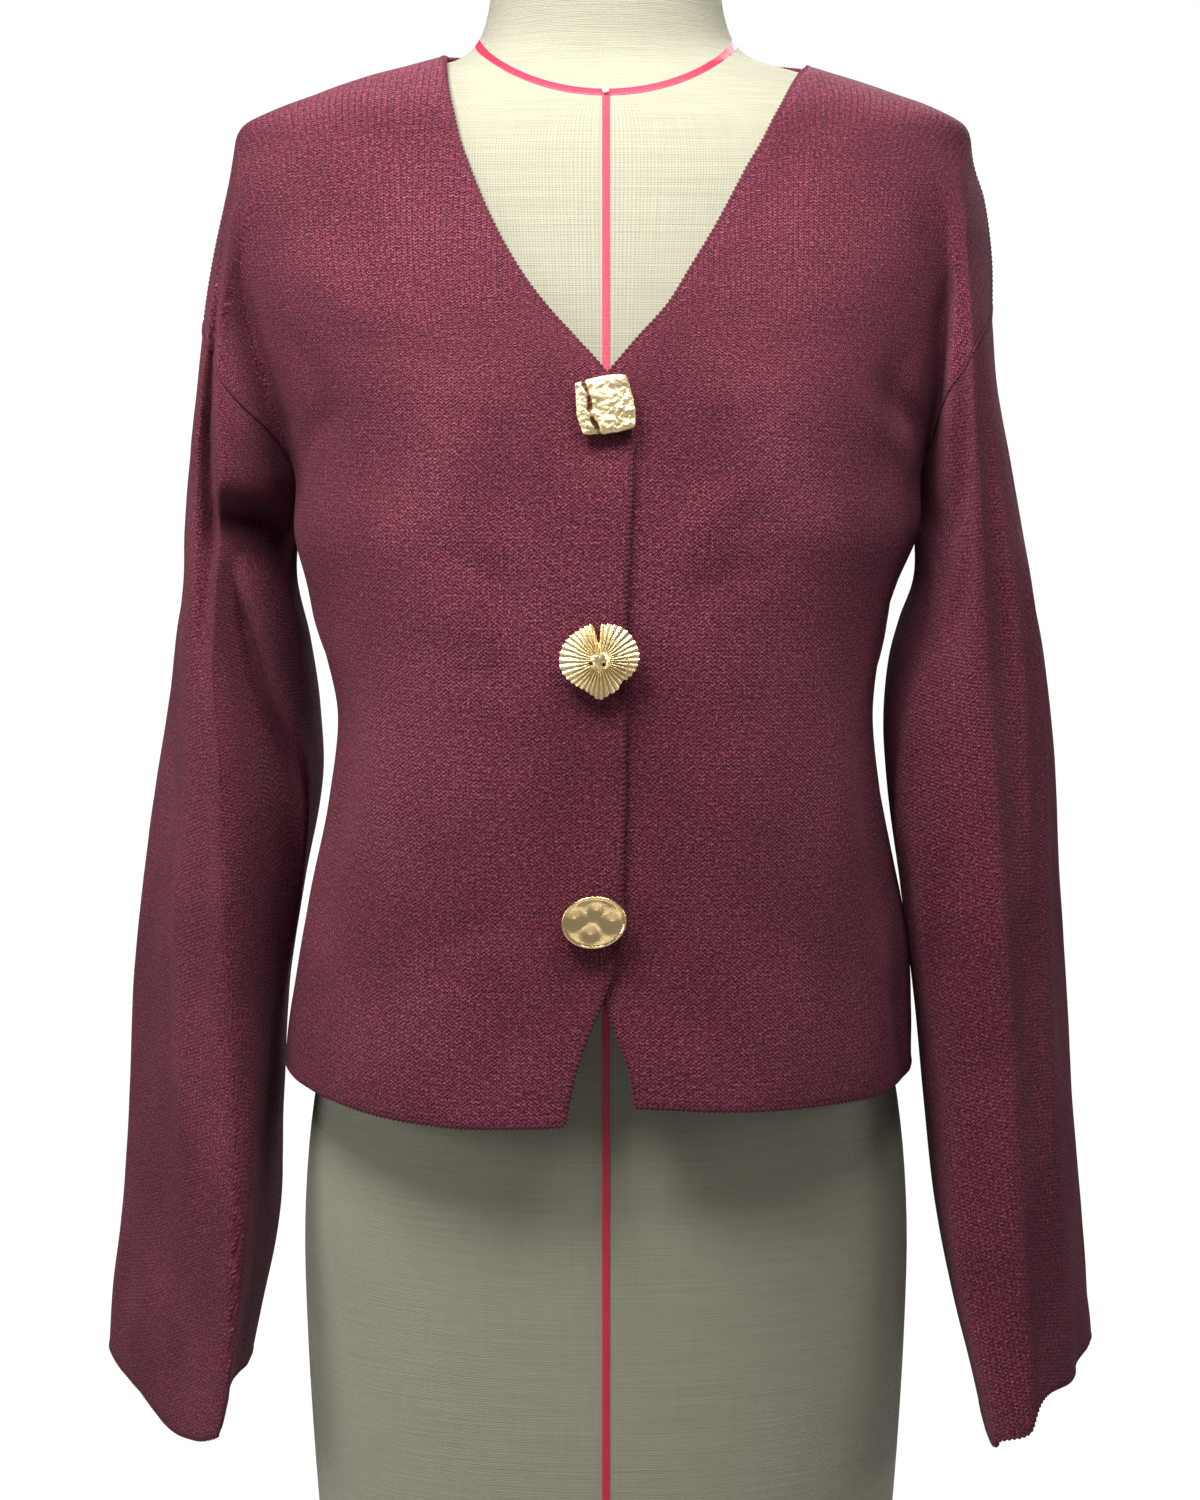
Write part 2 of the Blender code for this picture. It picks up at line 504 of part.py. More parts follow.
def clear_of_form(x, y, z):
    """Moves a point of the cloth's outside straight out until the wall behind it clears the form."""
    row = read_table(FORM, z - FORM_EASE)
    depth = row.front if y < 0 else row.back
    reach = (abs(x) / (row.half_width + FORM_EASE)) ** row.power + (abs(y) / (depth + FORM_EASE)) ** row.power
    grow = reach ** (-1 / row.power) if 0 < reach < 1 else 1.0
    return x * grow, y * grow


def skin(side, face, z, way):
    """The cloth's outside: way 0 is the middle, 1 the valley or side seam, 2 the arm's outer line."""
    low, high = 1 - VALLEY_SOFTNESS, 1 + VALLEY_SOFTNESS
    if z > UNDERARM_Z and low < way < high:
        soft = smooth_step((z - UNDERARM_Z) / 0.12)
        t = (way - low) / (high - low)
        a, c = chest_point(side, face, z, low), arm_point(side, face, z, VALLEY_SOFTNESS)
        b = chest_point(side, face, z, 1.0)
        sharp = chest_point(side, face, z, way) if way <= 1 else arm_point(side, face, z, way - 1)
        point = sharp.lerp((1 - t) ** 2 * a + 2 * t * (1 - t) * b + t * t * c, soft)
    elif z <= UNDERARM_Z or way <= 1:
        point = chest_point(side, face, z, min(way, 1.0))
    else:
        point = arm_point(side, face, z, way - 1)
    x, y = clear_of_form(point.x, point.y, z)
    return Vector((side * x, y, z))


def way_at(side, face, z, x):
    """The way at which the chest's section passes this distance from the middle plane."""
    half_width, _, power = body_row(side, face, z)
    share = min(abs(x) / half_width, 1.0) ** (power / 2)
    way = math.asin(share) / valley_angle(side, face, z)
    if way > 1:
        rest = (math.asin(share) - valley_angle(side, face, z)) / (math.pi / 2 - valley_angle(side, face, z))
        way = 1 + rest
    return math.copysign(way, x)


# ---- Seams and edges, as lines of (z, way) --------------------------------------------------------------
LINE_STEPS = 60


def even_line(side, face, line, count):
    """Points at even distances along a finely stepped line of (z, way) on the outer surface."""
    points = [skin(side, face, z, way) for z, way in line]
    lengths = [0.0]
    for p, q in zip(points, points[1:]):
        lengths.append(lengths[-1] + (q - p).length)
    picked, i = [], 0
    for k in range(count + 1):
        goal = lengths[-1] * k / count
        while i < len(lengths) - 2 and lengths[i + 1] < goal:
            i += 1
        t = (goal - lengths[i]) / (lengths[i + 1] - lengths[i])
        z, way = (a + (b - a) * t for a, b in zip(line[i], line[i + 1]))
        picked.append((z, way))
    return picked


def front_edge_way(side, z):
    x = read_table(RIGHT_EDGE if side == RIGHT else LEFT_EDGE, z).x
    return way_at(side, FRONT, z, side * x)


def neckline(side, count):
    """The front's inner edge from the underarm's height up to the neck point."""
    top = NECK_POINT_Z[side]
    heights = [UNDERARM_Z + (top - UNDERARM_Z) * (1 - (1 - k / LINE_STEPS) ** 2) for k in range(LINE_STEPS)]
    line = [(z, front_edge_way(side, z)) for z in heights] + [(top, 2.0)]
    return even_line(side, FRONT, line, count)


def seam_place(side, step):
    """Height and share of the armhole seam."""
    row = read_table(ARMHOLE, step)
    return (row.right_z if side == RIGHT else row.left_z), min(max(row.share, 0.0), 1.0)


def armhole(side, count):
    return [(z, 1 + share) for z, share in (seam_place(side, k / count) for k in range(count + 1))]


def shoulder_line(side, face):
    """The shoulder seam from the neck point over the shoulder's tip to the armhole."""
    line = []
    heights = (NECK_POINT_Z[side], SHOULDER_TIP_Z, seam_place(side, 1.0)[0])
    for top, low, count in zip(heights, heights[1:], (SHOULDER_COLUMNS, DROP_COLUMNS)):
        fine = [(top + (low - top) * k / LINE_STEPS, 2.0) for k in range(LINE_STEPS + 1)]
        line = line[:-1] + even_line(side, face, fine, count)
    return line


def back_neckline(side):
    """The back neckline from the middle to the neck point."""
    top = NECK_POINT_Z[side]
    fine = [(BACK_NECK_Z + (top - BACK_NECK_Z) * (k / 24) ** 2, k / 12) for k in range(25)]
    return even_line(side, BACK, fine, NECK_COLUMNS)


def patch(left, right, bottom, top):
    """Rows of (z, way) that fill the four lines: left and right run up, bottom and top run outwards."""
    rows, nu, nv = [], len(bottom) - 1, len(left) - 1
    for j in range(nv + 1):
        v, row = j / nv, []
        for i in range(nu + 1):
            u = i / nu
            row.append(tuple(
                (1 - v) * bottom[i][k] + v * top[i][k] + (1 - u) * left[j][k] + u * right[j][k]
                - (1 - u) * ((1 - v) * bottom[0][k] + v * top[0][k])
                - u * ((1 - v) * bottom[nu][k] + v * top[nu][k])
                for k in (0, 1)
            ))
        rows.append(row)
    return rows


def level_row(z, start, count):
    return [(z, start + (1 - start) * i / count) for i in range(count + 1)]


def lower_rows(side, face, count):
    """Rows of (z, way) from the hem to the underarm."""
    rows = []
    for j in range(LOWER_ROWS):
        z = HEM_Z + (UNDERARM_Z - HEM_Z) * j / LOWER_ROWS
        start = front_edge_way(side, z) if face == FRONT else 0.0
        rows.append(level_row(z, start, count))
    return rows


def half_rows(side, face):
    """All rows of (z, way) of one front, or of one half of the back, from the middle outwards."""
    top = shoulder_line(side, face)
    if face == FRONT:
        left = neckline(side, UPPER_ROWS)
    else:
        rise = BACK_NECK_Z - UNDERARM_Z
        left = [(UNDERARM_Z + rise * j / UPPER_ROWS, 0.0) for j in range(UPPER_ROWS + 1)]
        top = back_neckline(side)[:-1] + top
    count = len(top) - 1
    bottom = level_row(UNDERARM_Z, left[0][1], count)
    return lower_rows(side, face, count) + patch(left, armhole(side, UPPER_ROWS), bottom, top)


# ---- The knitted pieces' outer points --------------------------------------------------------------------


def dressed(side, face, z, way):
    """A point of the skin with the hem's line and, on the right front, the lift over the left front."""
    point = skin(side, face, z, way)
    reach = side * point.x
    hem = read_table(HEM, abs(reach))
    rise = hem.right_front if side == RIGHT else hem.left_front
    rise += (hem.back - rise) * (smooth_step((way - 0.7) / 0.3) if face == FRONT else 1.0)
    point.z += rise * (1 - smooth_step((z - HEM_Z) / 0.05))
    if side == RIGHT and face == FRONT:
        lift = smooth_step((OVERLAP_REACH + 0.026 - reach) / 0.026) * (1 - smooth_step((z - 1.108) / 0.035))
        point.y -= OVERLAP_LIFT * lift
    return point


def front_points(side):
    return [[dressed(side, FRONT, z, way) for z, way in row] for row in half_rows(side, FRONT)]


def back_points():
    halves = {side: half_rows(side, BACK) for side in (RIGHT, LEFT)}
    rows = []
    for right_row, left_row in zip(halves[RIGHT], halves[LEFT]):
        right = [dressed(RIGHT, BACK, z, way) for z, way in right_row]
        rows.append(right[:0:-1] + [dressed(LEFT, BACK, z, way) for z, way in left_row])
    return rows


def cuff_height(side, face, share):
    row = read_table(CUFF, share)
    rises = {(RIGHT, FRONT): row.right_front, (RIGHT, BACK): row.right_back, (LEFT, FRONT): row.left_front}
    return CUFF_Z[side] + rises.get((side, face), row.left_back)


def sleeve_points(side):
    """Rows from the armhole seam to the cuff, closer together at the top, round the arm from the underarm."""
    steps = [(FRONT, k / UPPER_ROWS) for k in range(UPPER_ROWS)]
    steps += [(BACK, 1 - k / UPPER_ROWS) for k in range(UPPER_ROWS + 1)]
    rows = []
    for j in range(SLEEVE_ROWS + 1):
        down, row = (j / SLEEVE_ROWS) ** 1.15, []
        for face, step in steps:
            top, start = seam_place(side, step)
            share = start + (step - start) * smooth_step(down / SHARE_SETTLES)
            z = top + (cuff_height(side, face, step) - top) * down
            row.append(skin(side, face, z, 1 + share) if z > UNDERARM_Z else sleeve_skin(side, face, z, share))
        rows.append(row)
    return rows


def sleeve_skin(side, face, z, share):
    point = arm_point(side, face, z, share)
    return Vector((side * point.x, point.y, z))


# ---- Walls from outer points -----------------------------------------------------------------------------


def place_key(point):
    return tuple(round(value, 5) for value in point)


def outward(panels):
    """Outward directions at every point of these panels, shared where they meet."""
    normals = {}
    for rows, turn in panels:
        for low, high in zip(rows, rows[1:]):
            for a, b, c, d in zip(low, low[1:], high[1:], high):
                normal = (c - a).cross(d - b) * turn
                for corner in (a, b, c, d):
                    key = place_key(corner)
                    normals[key] = normals.get(key, Vector((0.0, 0.0, 0.0))) + normal
    return {key: normal.normalized() for key, normal in normals.items()}


def shared_normals(body, arms):
    """The body's and the arms' directions, halfway between the two along the armhole seams."""
    body_normals, arm_normals = outward(body), outward(arms)
    shared = {**body_normals, **arm_normals}
    for key in body_normals.keys() & arm_normals.keys():
        shared[key] = (body_normals[key] + arm_normals[key]).normalized()
    return shared


def seam_pull(rows, normals, sides, turn, tube):
    """How far each point is drawn back from the seams on these sides: half of the gap, across the seam."""
    nv, nu = len(rows) - 1, len(rows[0]) - 1
    pulls = [[Vector((0.0, 0.0, 0.0)) for _ in row] for row in rows]
    for j in range(nv + 1):
        for i, side, sign in ((0, "start", -1), (nu, "end", 1)):
            if side in sides:
                along = rows[min(j + 1, nv)][i] - rows[max(j - 1, 0)][i]
                pulls[j][i] += normals[j][i].cross(along).normalized() * turn * sign * SEAM_GAP / 2
    for i in range(nu + 1):
        before, after = max(i - 1, 0), min(i + 1, nu)
        if tube and i in (0, nu):
            before, after = nu - 1, 1
        for j, side, sign in ((0, "first", 1), (nv, "last", -1)):
            if side in sides:
                along = rows[j][after] - rows[j][before]
                pulls[j][i] += normals[j][i].cross(along).normalized() * turn * sign * SEAM_GAP / 2
    return pulls


def wall(name, panel, directions, sides, look, tube=False):
    """A closed wall: a sheet of cells with their corners on the garment, and the same sheet behind it."""
    rows, turn = panel
    nv, nu = len(rows) - 1, len(rows[0]) - 1
    normals = [[directions[place_key(point)] for point in row] for row in rows]
    pulls = seam_pull(rows, normals, sides, turn, tube)
    layers = [
        [[p - n * depth + q for p, n, q in zip(*lines)] for lines in zip(rows, normals, pulls)]
        for depth in (0.0, KNIT)
    ]
    bm = bmesh.new()
    bmesh.ops.create_grid(bm, x_segments=nu, y_segments=nv, size=0.5)
    column, level = bm.verts.layers.int.new("column"), bm.verts.layers.int.new("level")
    for vert in bm.verts:
        vert[column], vert[level] = round((vert.co.x + 0.5) * nu), round((vert.co.y + 0.5) * nv)
        vert.co = layers[0][vert[level]][vert[column]]
    bmesh.ops.triangulate(bm, faces=bm.faces[:], quad_method="SHORT_EDGE")
    made = bmesh.ops.extrude_face_region(bm, geom=bm.faces[:])
    for vert in (g for g in made["geom"] if isinstance(g, bmesh.types.BMVert)):
        vert.co = layers[1][vert[level]][vert[column]]
    if tube:
        ends = [f for f in bm.faces if len(f.verts) == 4 and {v[column] for v in f.verts} in ({0}, {nu})]
        bmesh.ops.delete(bm, geom=ends, context="FACES")
        bmesh.ops.remove_doubles(bm, verts=bm.verts, dist=1e-6)
    return finish(name, bm, look)


Look = namedtuple("Look", "kind colour roughness metallic")
BURGUNDY_KNIT = Look("knit", (0.085, 0.012, 0.028), 0.9, 0.0)
CREAM_LINEN = Look("linen", (0.72, 0.66, 0.55), 0.85, 0.0)
TURNED_BEECH = Look("beech", (0.42, 0.27, 0.15), 0.45, 0.0)
BLACK_IRON = Look("iron", (0.03, 0.03, 0.032), 0.4, 0.6)
PALE_GOLD = Look("gold", (0.72, 0.56, 0.33), 0.35, 1.0)


def finish(name, bm, look, sharp=math.radians(50)):
    bmesh.ops.recalc_face_normals(bm, faces=bm.faces)
    if bm.calc_volume(signed=True) < 0:
        bmesh.ops.reverse_faces(bm, faces=bm.faces)
    mesh = bpy.data.meshes.new(name)
    bm.to_mesh(mesh)
    bm.free()
    mesh.shade_smooth()
    mesh.set_sharp_from_angle(angle=sharp)
    mesh.materials.append(make_material(name, look))
    obj = bpy.data.objects.new(name, mesh)
    bpy.context.scene.collection.objects.link(obj)
    return obj


def make_material(name, look):
    material = bpy.data.materials.new(f"{name}_{look.kind}")
    material.use_nodes = True
    shader = next(node for node in material.node_tree.nodes if node.type == "BSDF_PRINCIPLED")
    shader.inputs["Base Color"].default_value = (*look.colour, 1.0)
    shader.inputs["Roughness"].default_value = look.roughness
    shader.inputs["Metallic"].default_value = look.metallic
    return material


# ---- The dress form and its stand ------------------------------------------------------------------------


def ring_point(turn, z):
    """The form's cover at a turn from 0 to 1, counted from the middle of its front."""
    row = read_table(FORM, z)
    angle = turn * math.tau
    depth = -row.front if math.cos(angle) > 0 else row.back
    x, y = oval(math.asin(min(1.0, abs(math.sin(angle)))), row.half_width, depth, row.power)
    return Vector((math.copysign(x, math.sin(angle)), y, z))


def form_solid(name, heights, look):
    """The form between its lowest and highest section, closed with flat ends."""
    bm = bmesh.new()
    bmesh.ops.create_cone(
        bm, cap_ends=False, segments=FORM_COLUMNS, radius1=1.0, radius2=1.0, depth=1.0
    )
    cuts = len(heights) - 2
    upright = [e for e in bm.edges if abs(e.verts[0].co.z - e.verts[1].co.z) > 0.5]
    bmesh.ops.subdivide_edges(bm, edges=upright, cuts=cuts, use_grid_fill=True)
    for vert in bm.verts:
        level = round((vert.co.z + 0.5) * (len(heights) - 1))
        turn = math.atan2(vert.co.x, -vert.co.y) / math.tau
        vert.co = ring_point(round(turn * FORM_COLUMNS) / FORM_COLUMNS, heights[level])
    bmesh.ops.holes_fill(bm, edges=[e for e in bm.edges if e.is_boundary], sides=0)
    return finish(name, bm, look)


def turned(name, profile, segments, look):
    """A turned solid from (radius, z) pairs that run from one end on the axis to the other."""
    bm = bmesh.new()
    verts = [bm.verts.new((radius, 0.0, z)) for radius, z in profile]
    edges = [bm.edges.new(pair) for pair in zip(verts, verts[1:])]
    bmesh.ops.spin(
        bm, geom=verts + edges, cent=(0, 0, 0), axis=(0, 0, 1), angle=math.tau, steps=segments, use_merge=True
    )
    bmesh.ops.remove_doubles(bm, verts=bm.verts, dist=1e-6)
    return finish(name, bm, look, math.radians(35))


# ---- The buttons -------------------------------------------------------------------------------------------
ButtonRow = namedtuple("ButtonRow", "name x z turn lean")
SQUARE = ButtonRow("button_square", -0.0005, 1.0898, math.radians(9), math.radians(6))
LEAF = ButtonRow("button_leaf", -0.0027, 0.9755, 0.0, math.radians(2))
OVAL = ButtonRow("button_oval", -0.0054, 0.8585, math.radians(7), math.radians(-2))


def button_place(row):
    """Stands a button, built facing +Z, on the right front, facing out."""
    side_z = row.z
    way = way_at(RIGHT, FRONT, side_z, -row.x)
    point = dressed(RIGHT, FRONT, side_z, way)
    out = Vector((0.0, -math.cos(row.lean), math.sin(row.lean)))
    right = Vector((1.0, 0.0, 0.0))
    up = out.cross(right)
    basis = Matrix((right, up, out)).transposed().to_4x4()
    return Matrix.Translation(point + out * 0.0004) @ basis @ Matrix.Rotation(row.turn, 4, "Z")


def fuse_shank(row, bm):
    """Joins a round shank to the button's back, then sets the button in place."""
    body = finish(row.name, bm, PALE_GOLD, math.radians(35))
    foot = SHANK_LENGTH + 0.001
    tool_bm = bmesh.new()
    bmesh.ops.create_cone(
        tool_bm, cap_ends=True, segments=16, radius1=SHANK_RADIUS, radius2=SHANK_RADIUS, depth=foot,
        matrix=Matrix.Translation((0, 0, foot / 2)),
    )
    tool = finish(row.name + "_shank", tool_bm, PALE_GOLD)
    tool.hide_render, tool.display_type = True, "WIRE"
    join = body.modifiers.new("shank", "BOOLEAN")
    join.operation, join.solver, join.object = "UNION", "EXACT", tool
    for obj in (body, tool):
        obj.matrix_world = button_place(row)
    return body


def square_button():
    """A thick square nugget with a worn groove down it and a rolling, uneven face."""
    bm = bmesh.new()
    cells = 10
    bmesh.ops.create_grid(bm, x_segments=cells, y_segments=cells, size=SQUARE_SIDE / 2)
    made = bmesh.ops.extrude_face_region(bm, geom=bm.faces[:])
    top = [g for g in made["geom"] if isinstance(g, bmesh.types.BMVert)]
    bmesh.ops.translate(bm, vec=(0, 0, 0.0034), verts=top)
    half = SQUARE_SIDE / 2
    for vert in bm.verts:
        x, y = vert.co.x / half, vert.co.y / half
        if vert.co.z > 0.002:
            waves = math.sin(5.1 * x + 2.0 * y) * math.cos(4.3 * y - 1.1 * x)
            groove = math.exp(-(((x + 0.30 - 0.10 * math.sin(2.4 * y)) / 0.16) ** 2))
            rim = max(abs(x), abs(y)) ** 6
            vert.co.z += 0.00035 * waves - 0.0013 * groove - 0.0008 * rim
        bow = 1 + 0.035 * math.cos(3.0 * y + 0.6)
        vert.co.x *= bow * (1 - 0.05 * abs(y) ** 4)
        vert.co.y *= 1 + 0.03 * math.cos(2.6 * x - 0.5) - 0.05 * abs(x) ** 4
    bmesh.ops.translate(bm, vec=(0, 0, SHANK_LENGTH), verts=bm.verts)
    return fuse_shank(SQUARE, bm)


def leaf_reach(angle):
    """The leaf button's outline: scallops all round, a notch at the top and a point at the bottom."""
    lobes = 0.035 * abs(math.cos(5.5 * (angle - math.pi / 2)))
    from_top = math.remainder(angle - math.pi / 2, math.tau)
    from_bottom = math.remainder(angle + math.pi / 2, math.tau)
    notch = 0.17 * math.exp(-((from_top / 0.16) ** 2))
    tip = 0.10 * math.exp(-((from_bottom / 0.30) ** 2))
    return (0.93 + lobes - notch + tip) * LEAF_SPAN / 2


def dome_button(row, reach_at, height, sink, ribs, segments):
    """A round-backed button whose face is a disc stretched to its outline and lifted to its relief."""
    bm = bmesh.new()
    rings = (0.0, 0.16, 0.34, 0.55, 0.76, 0.92, 1.0)
    profile = [bm.verts.new((share, 0.0, 1.0)) for share in rings]
    profile += [bm.verts.new((share, 0.0, 0.0)) for share in (0.96, 0.5, 0.0)]
    edges = [bm.edges.new(pair) for pair in zip(profile, profile[1:])]
    bmesh.ops.spin(
        bm, geom=profile + edges, cent=(0, 0, 0), axis=(0, 0, 1), angle=math.tau, steps=segments, use_merge=True
    )
    bmesh.ops.remove_doubles(bm, verts=bm.verts, dist=1e-6)
    for vert in bm.verts:
        share, angle = math.hypot(vert.co.x, vert.co.y), math.atan2(vert.co.y, vert.co.x)
        reach = reach_at(angle) * share
        if vert.co.z > 0.5:
            rib = ribs * math.cos(11 * (angle - math.pi / 2)) * smooth_step((share - 0.15) / 0.4)
            lift = height * (1 - 0.62 * share**2.2) - sink * math.exp(-((share / 0.2) ** 2)) + rib
        else:
            lift = 0.0
        vert.co = (reach * math.cos(angle), reach * math.sin(angle), SHANK_LENGTH + lift)
    return fuse_shank(row, bm)


def oval_reach(angle):
    return 1 / math.hypot(math.cos(angle) / (OVAL_WIDTH / 2), math.sin(angle) / (OVAL_HEIGHT / 2))


# ---- Build -------------------------------------------------------------------------------------------------


def build():
    for obj in list(bpy.data.objects):
        bpy.data.objects.remove(obj, do_unlink=True)

    right_front, left_front = ((front_points(side), -side * FRONT) for side in (RIGHT, LEFT))
    right_sleeve, left_sleeve = ((sleeve_points(side), -side) for side in (RIGHT, LEFT))
    back = (back_points(), -1)
    directions = shared_normals([right_front, left_front, back], [right_sleeve, left_sleeve])

    wall("right_front", right_front, directions, ("end", "last"), BURGUNDY_KNIT)
    wall("left_front", left_front, directions, ("end", "last"), BURGUNDY_KNIT)
    wall("back", back, directions, ("start", "end", "last"), BURGUNDY_KNIT)
    wall("right_sleeve", right_sleeve, directions, ("first",), BURGUNDY_KNIT, tube=True)
    wall("left_sleeve", left_sleeve, directions, ("first",), BURGUNDY_KNIT, tube=True)

    square_button()
    dome_button(LEAF, leaf_reach, 0.0042, 0.0006, 0.00035, 44)
    dome_button(OVAL, oval_reach, 0.0040, -0.0004, 0.0, 32)

    form_solid("form_torso", FORM_SECTIONS, CREAM_LINEN)
    top, neck = NECK_TOP_Z + 0.0003, FORM[-1]
    turned(
        "neck_cap",
        [(0.0, top), (neck.half_width - 0.004, top), (neck.half_width - 0.002, top + 0.002),
         (neck.half_width - 0.003, top + 0.007), (0.034, top + 0.012), (0.012, top + 0.0135),
         (0.011, top + 0.018), (0.0155, top + 0.025), (0.0155, top + 0.030), (0.009, top + 0.036),
         (0.0, top + 0.0375)],
        32, TURNED_BEECH,
    )
    low = FORM_BOTTOM_Z - 0.0003
    turned(
        "stand_collar",
        [(0.0, low), (COLLAR_RADIUS, low), (COLLAR_RADIUS, low - 0.006), (0.024, low - 0.012),
         (0.022, low - 0.040), (0.0195, low - 0.044), (0.0, low - 0.044)],
        32, TURNED_BEECH,
    )
    pole_top = low - 0.0443
    turned(
        "stand_pole",
        [(0.0, BASE_HEIGHT + 0.0183), (POLE_RADIUS, BASE_HEIGHT + 0.0183), (POLE_RADIUS, pole_top), (0.0, pole_top)],
        24, BLACK_IRON,
    )
    turned(
        "stand_base",
        [(0.0, 0.0), (BASE_RADIUS - 0.003, 0.0), (BASE_RADIUS, 0.003), (BASE_RADIUS, 0.010),
         (BASE_RADIUS - 0.006, 0.015), (0.120, 0.0185), (0.036, BASE_HEIGHT), (0.026, BASE_HEIGHT + 0.006),
         (0.022, BASE_HEIGHT + 0.018), (0.0, BASE_HEIGHT + 0.018)],
        64, BLACK_IRON,
    )


build()
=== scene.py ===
"""Looks of the button cardigan on its dress form: knitted walls with their selvedges, seams and creases, cast
buttons, the form's linen cover and tapes, the stand's finishes, the floor, the light and the camera.

Frame: metres, +Z up, the front faces -Y, and the origin is on the floor under the middle of the stand. The
wearer's right is at -X. The garment's tables are the ones that its solids were made from, read more finely.
"""

import math
from collections import namedtuple
from functools import lru_cache

import bmesh
import bpy
from mathutils import Matrix, Vector, noise


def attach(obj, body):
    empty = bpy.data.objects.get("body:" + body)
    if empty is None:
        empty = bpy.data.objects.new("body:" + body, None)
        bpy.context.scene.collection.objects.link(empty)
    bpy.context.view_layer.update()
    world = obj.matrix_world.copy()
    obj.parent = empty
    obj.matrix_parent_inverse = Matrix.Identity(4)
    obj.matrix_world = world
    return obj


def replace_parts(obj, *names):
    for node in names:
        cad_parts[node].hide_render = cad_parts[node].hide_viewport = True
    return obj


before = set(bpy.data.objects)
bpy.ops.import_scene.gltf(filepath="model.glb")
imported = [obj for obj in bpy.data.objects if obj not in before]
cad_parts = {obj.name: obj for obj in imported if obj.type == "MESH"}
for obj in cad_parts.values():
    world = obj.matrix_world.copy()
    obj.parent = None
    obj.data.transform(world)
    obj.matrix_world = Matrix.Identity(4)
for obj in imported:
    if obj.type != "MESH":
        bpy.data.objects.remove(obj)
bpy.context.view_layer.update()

# ---- Driving sizes -------------------------------------------------------------------------------------
KNIT = 0.0022  # thickness of the knitted wall
SEAM_GAP = 0.0003  # between two pieces at a seam
FORM_EASE = 0.0032  # from the form's cover to the outside of cloth that lies on it
OVERLAP_LIFT = 0.0028  # the right front's overlap stands this far out over the left front
OVERLAP_REACH = 0.024  # and does so from here to its own edge, fading out beyond

HEM_Z = 0.766
UNDERARM_Z = 1.030
SHOULDER_TIP_Z = 1.2295
FREE_SHOULDER_Z = 1.195  # below it the dropped shoulder hangs free of the form
BACK_NECK_Z = 1.271  # the middle of the back neckline
CUFF_Z = {-1: 0.605, 1: 0.594}  # by side

FORM_BOTTOM_Z = 0.520
NECK_TOP_Z = 1.346

WALE = 0.0025  # one column of stitches
COURSE = 0.0018  # one row of stitches
RIM_ROUND = 0.0007  # the rounding of a knitted edge

SQUARE_SIDE = 0.0255
SQUARE_THICK = 0.0034
LEAF_SPAN = 0.0355
OVAL_WIDTH = 0.0305
OVAL_HEIGHT = 0.0245
SHANK_RADIUS = 0.0030
SHANK_LENGTH = 0.0036

RIGHT, LEFT = -1, 1  # the wearer's sides, as signs of x
FRONT, BACK = -1, 1  # signs of y

# ---- Mesh counts ---------------------------------------------------------------------------------------
NECK_COLUMNS = 22  # from the middle of the back to the neck point
SHOULDER_COLUMNS = 34  # from the neck point to the shoulder's tip
DROP_COLUMNS = 26  # from the shoulder's tip to the armhole
LOWER_ROWS = 66  # from the hem to the underarm
UPPER_ROWS = 60  # from the underarm to the shoulder; the sleeve has as many columns on each face
SLEEVE_ROWS = 120
FORM_COLUMNS = 96
FORM_ROWS = 110
MIDDLE_TAPE_STEPS, SHOULDER_TAPE_STEPS, NECK_TAPE_STEPS = 240, 60, 180
PIN_SIDES = 20
SHANK_SIDES = 24
SQUARE_CELLS = 64  # along each side of its face
LEAF_RINGS = 26
OVAL_RINGS, OVAL_COLUMNS = 40, 120
FLOOR_SIDES = 96


def table(columns, *rows):
    """Rows of numbers under these column names."""
    row = namedtuple("Row", columns)
    return [row(*values) for values in rows]


# ---- The dress form: half of its width, and how far its front and back lie from the middle plane -------
FORM = table(
    "z half_width front back power",
    (0.5200, 0.1400, 0.0920, 0.094, 2.30),
    (0.5800, 0.1450, 0.0960, 0.101, 2.30),
    (0.6400, 0.1485, 0.1000, 0.109, 2.30),
    (0.6900, 0.1495, 0.1030, 0.114, 2.30),
    (0.7400, 0.1460, 0.1020, 0.110, 2.30),
    (0.7900, 0.1375, 0.0980, 0.099, 2.30),
    (0.8400, 0.1260, 0.0920, 0.086, 2.30),
    (0.8900, 0.1170, 0.0890, 0.076, 2.30),
    (0.9300, 0.1200, 0.0990, 0.077, 2.30),
    (0.9750, 0.1290, 0.1150, 0.084, 2.30),
    (1.0200, 0.1380, 0.1245, 0.091, 2.30),
    (1.0600, 0.1420, 0.1230, 0.096, 2.30),
    (1.1000, 0.1480, 0.1170, 0.099, 2.30),
    (1.1400, 0.1580, 0.1080, 0.100, 2.30),
    (1.1750, 0.1690, 0.0975, 0.098, 2.30),
    (1.2050, 0.1755, 0.0880, 0.091, 2.30),
    (1.2240, 0.1735, 0.0800, 0.0845, 2.25),
    (1.2330, 0.1600, 0.0750, 0.0805, 2.20),
    (1.2425, 0.1405, 0.0690, 0.076, 2.15),
    (1.2510, 0.1150, 0.0630, 0.0705, 2.10),
    (1.2570, 0.0930, 0.0590, 0.069, 2.05),
    (1.2620, 0.0760, 0.0570, 0.065, 2.00),
    (1.2720, 0.0640, 0.0550, 0.061, 2.00),
    (1.2960, 0.0575, 0.0550, 0.057, 2.00),
    (1.3460, 0.0550, 0.0580, 0.053, 2.00),
)

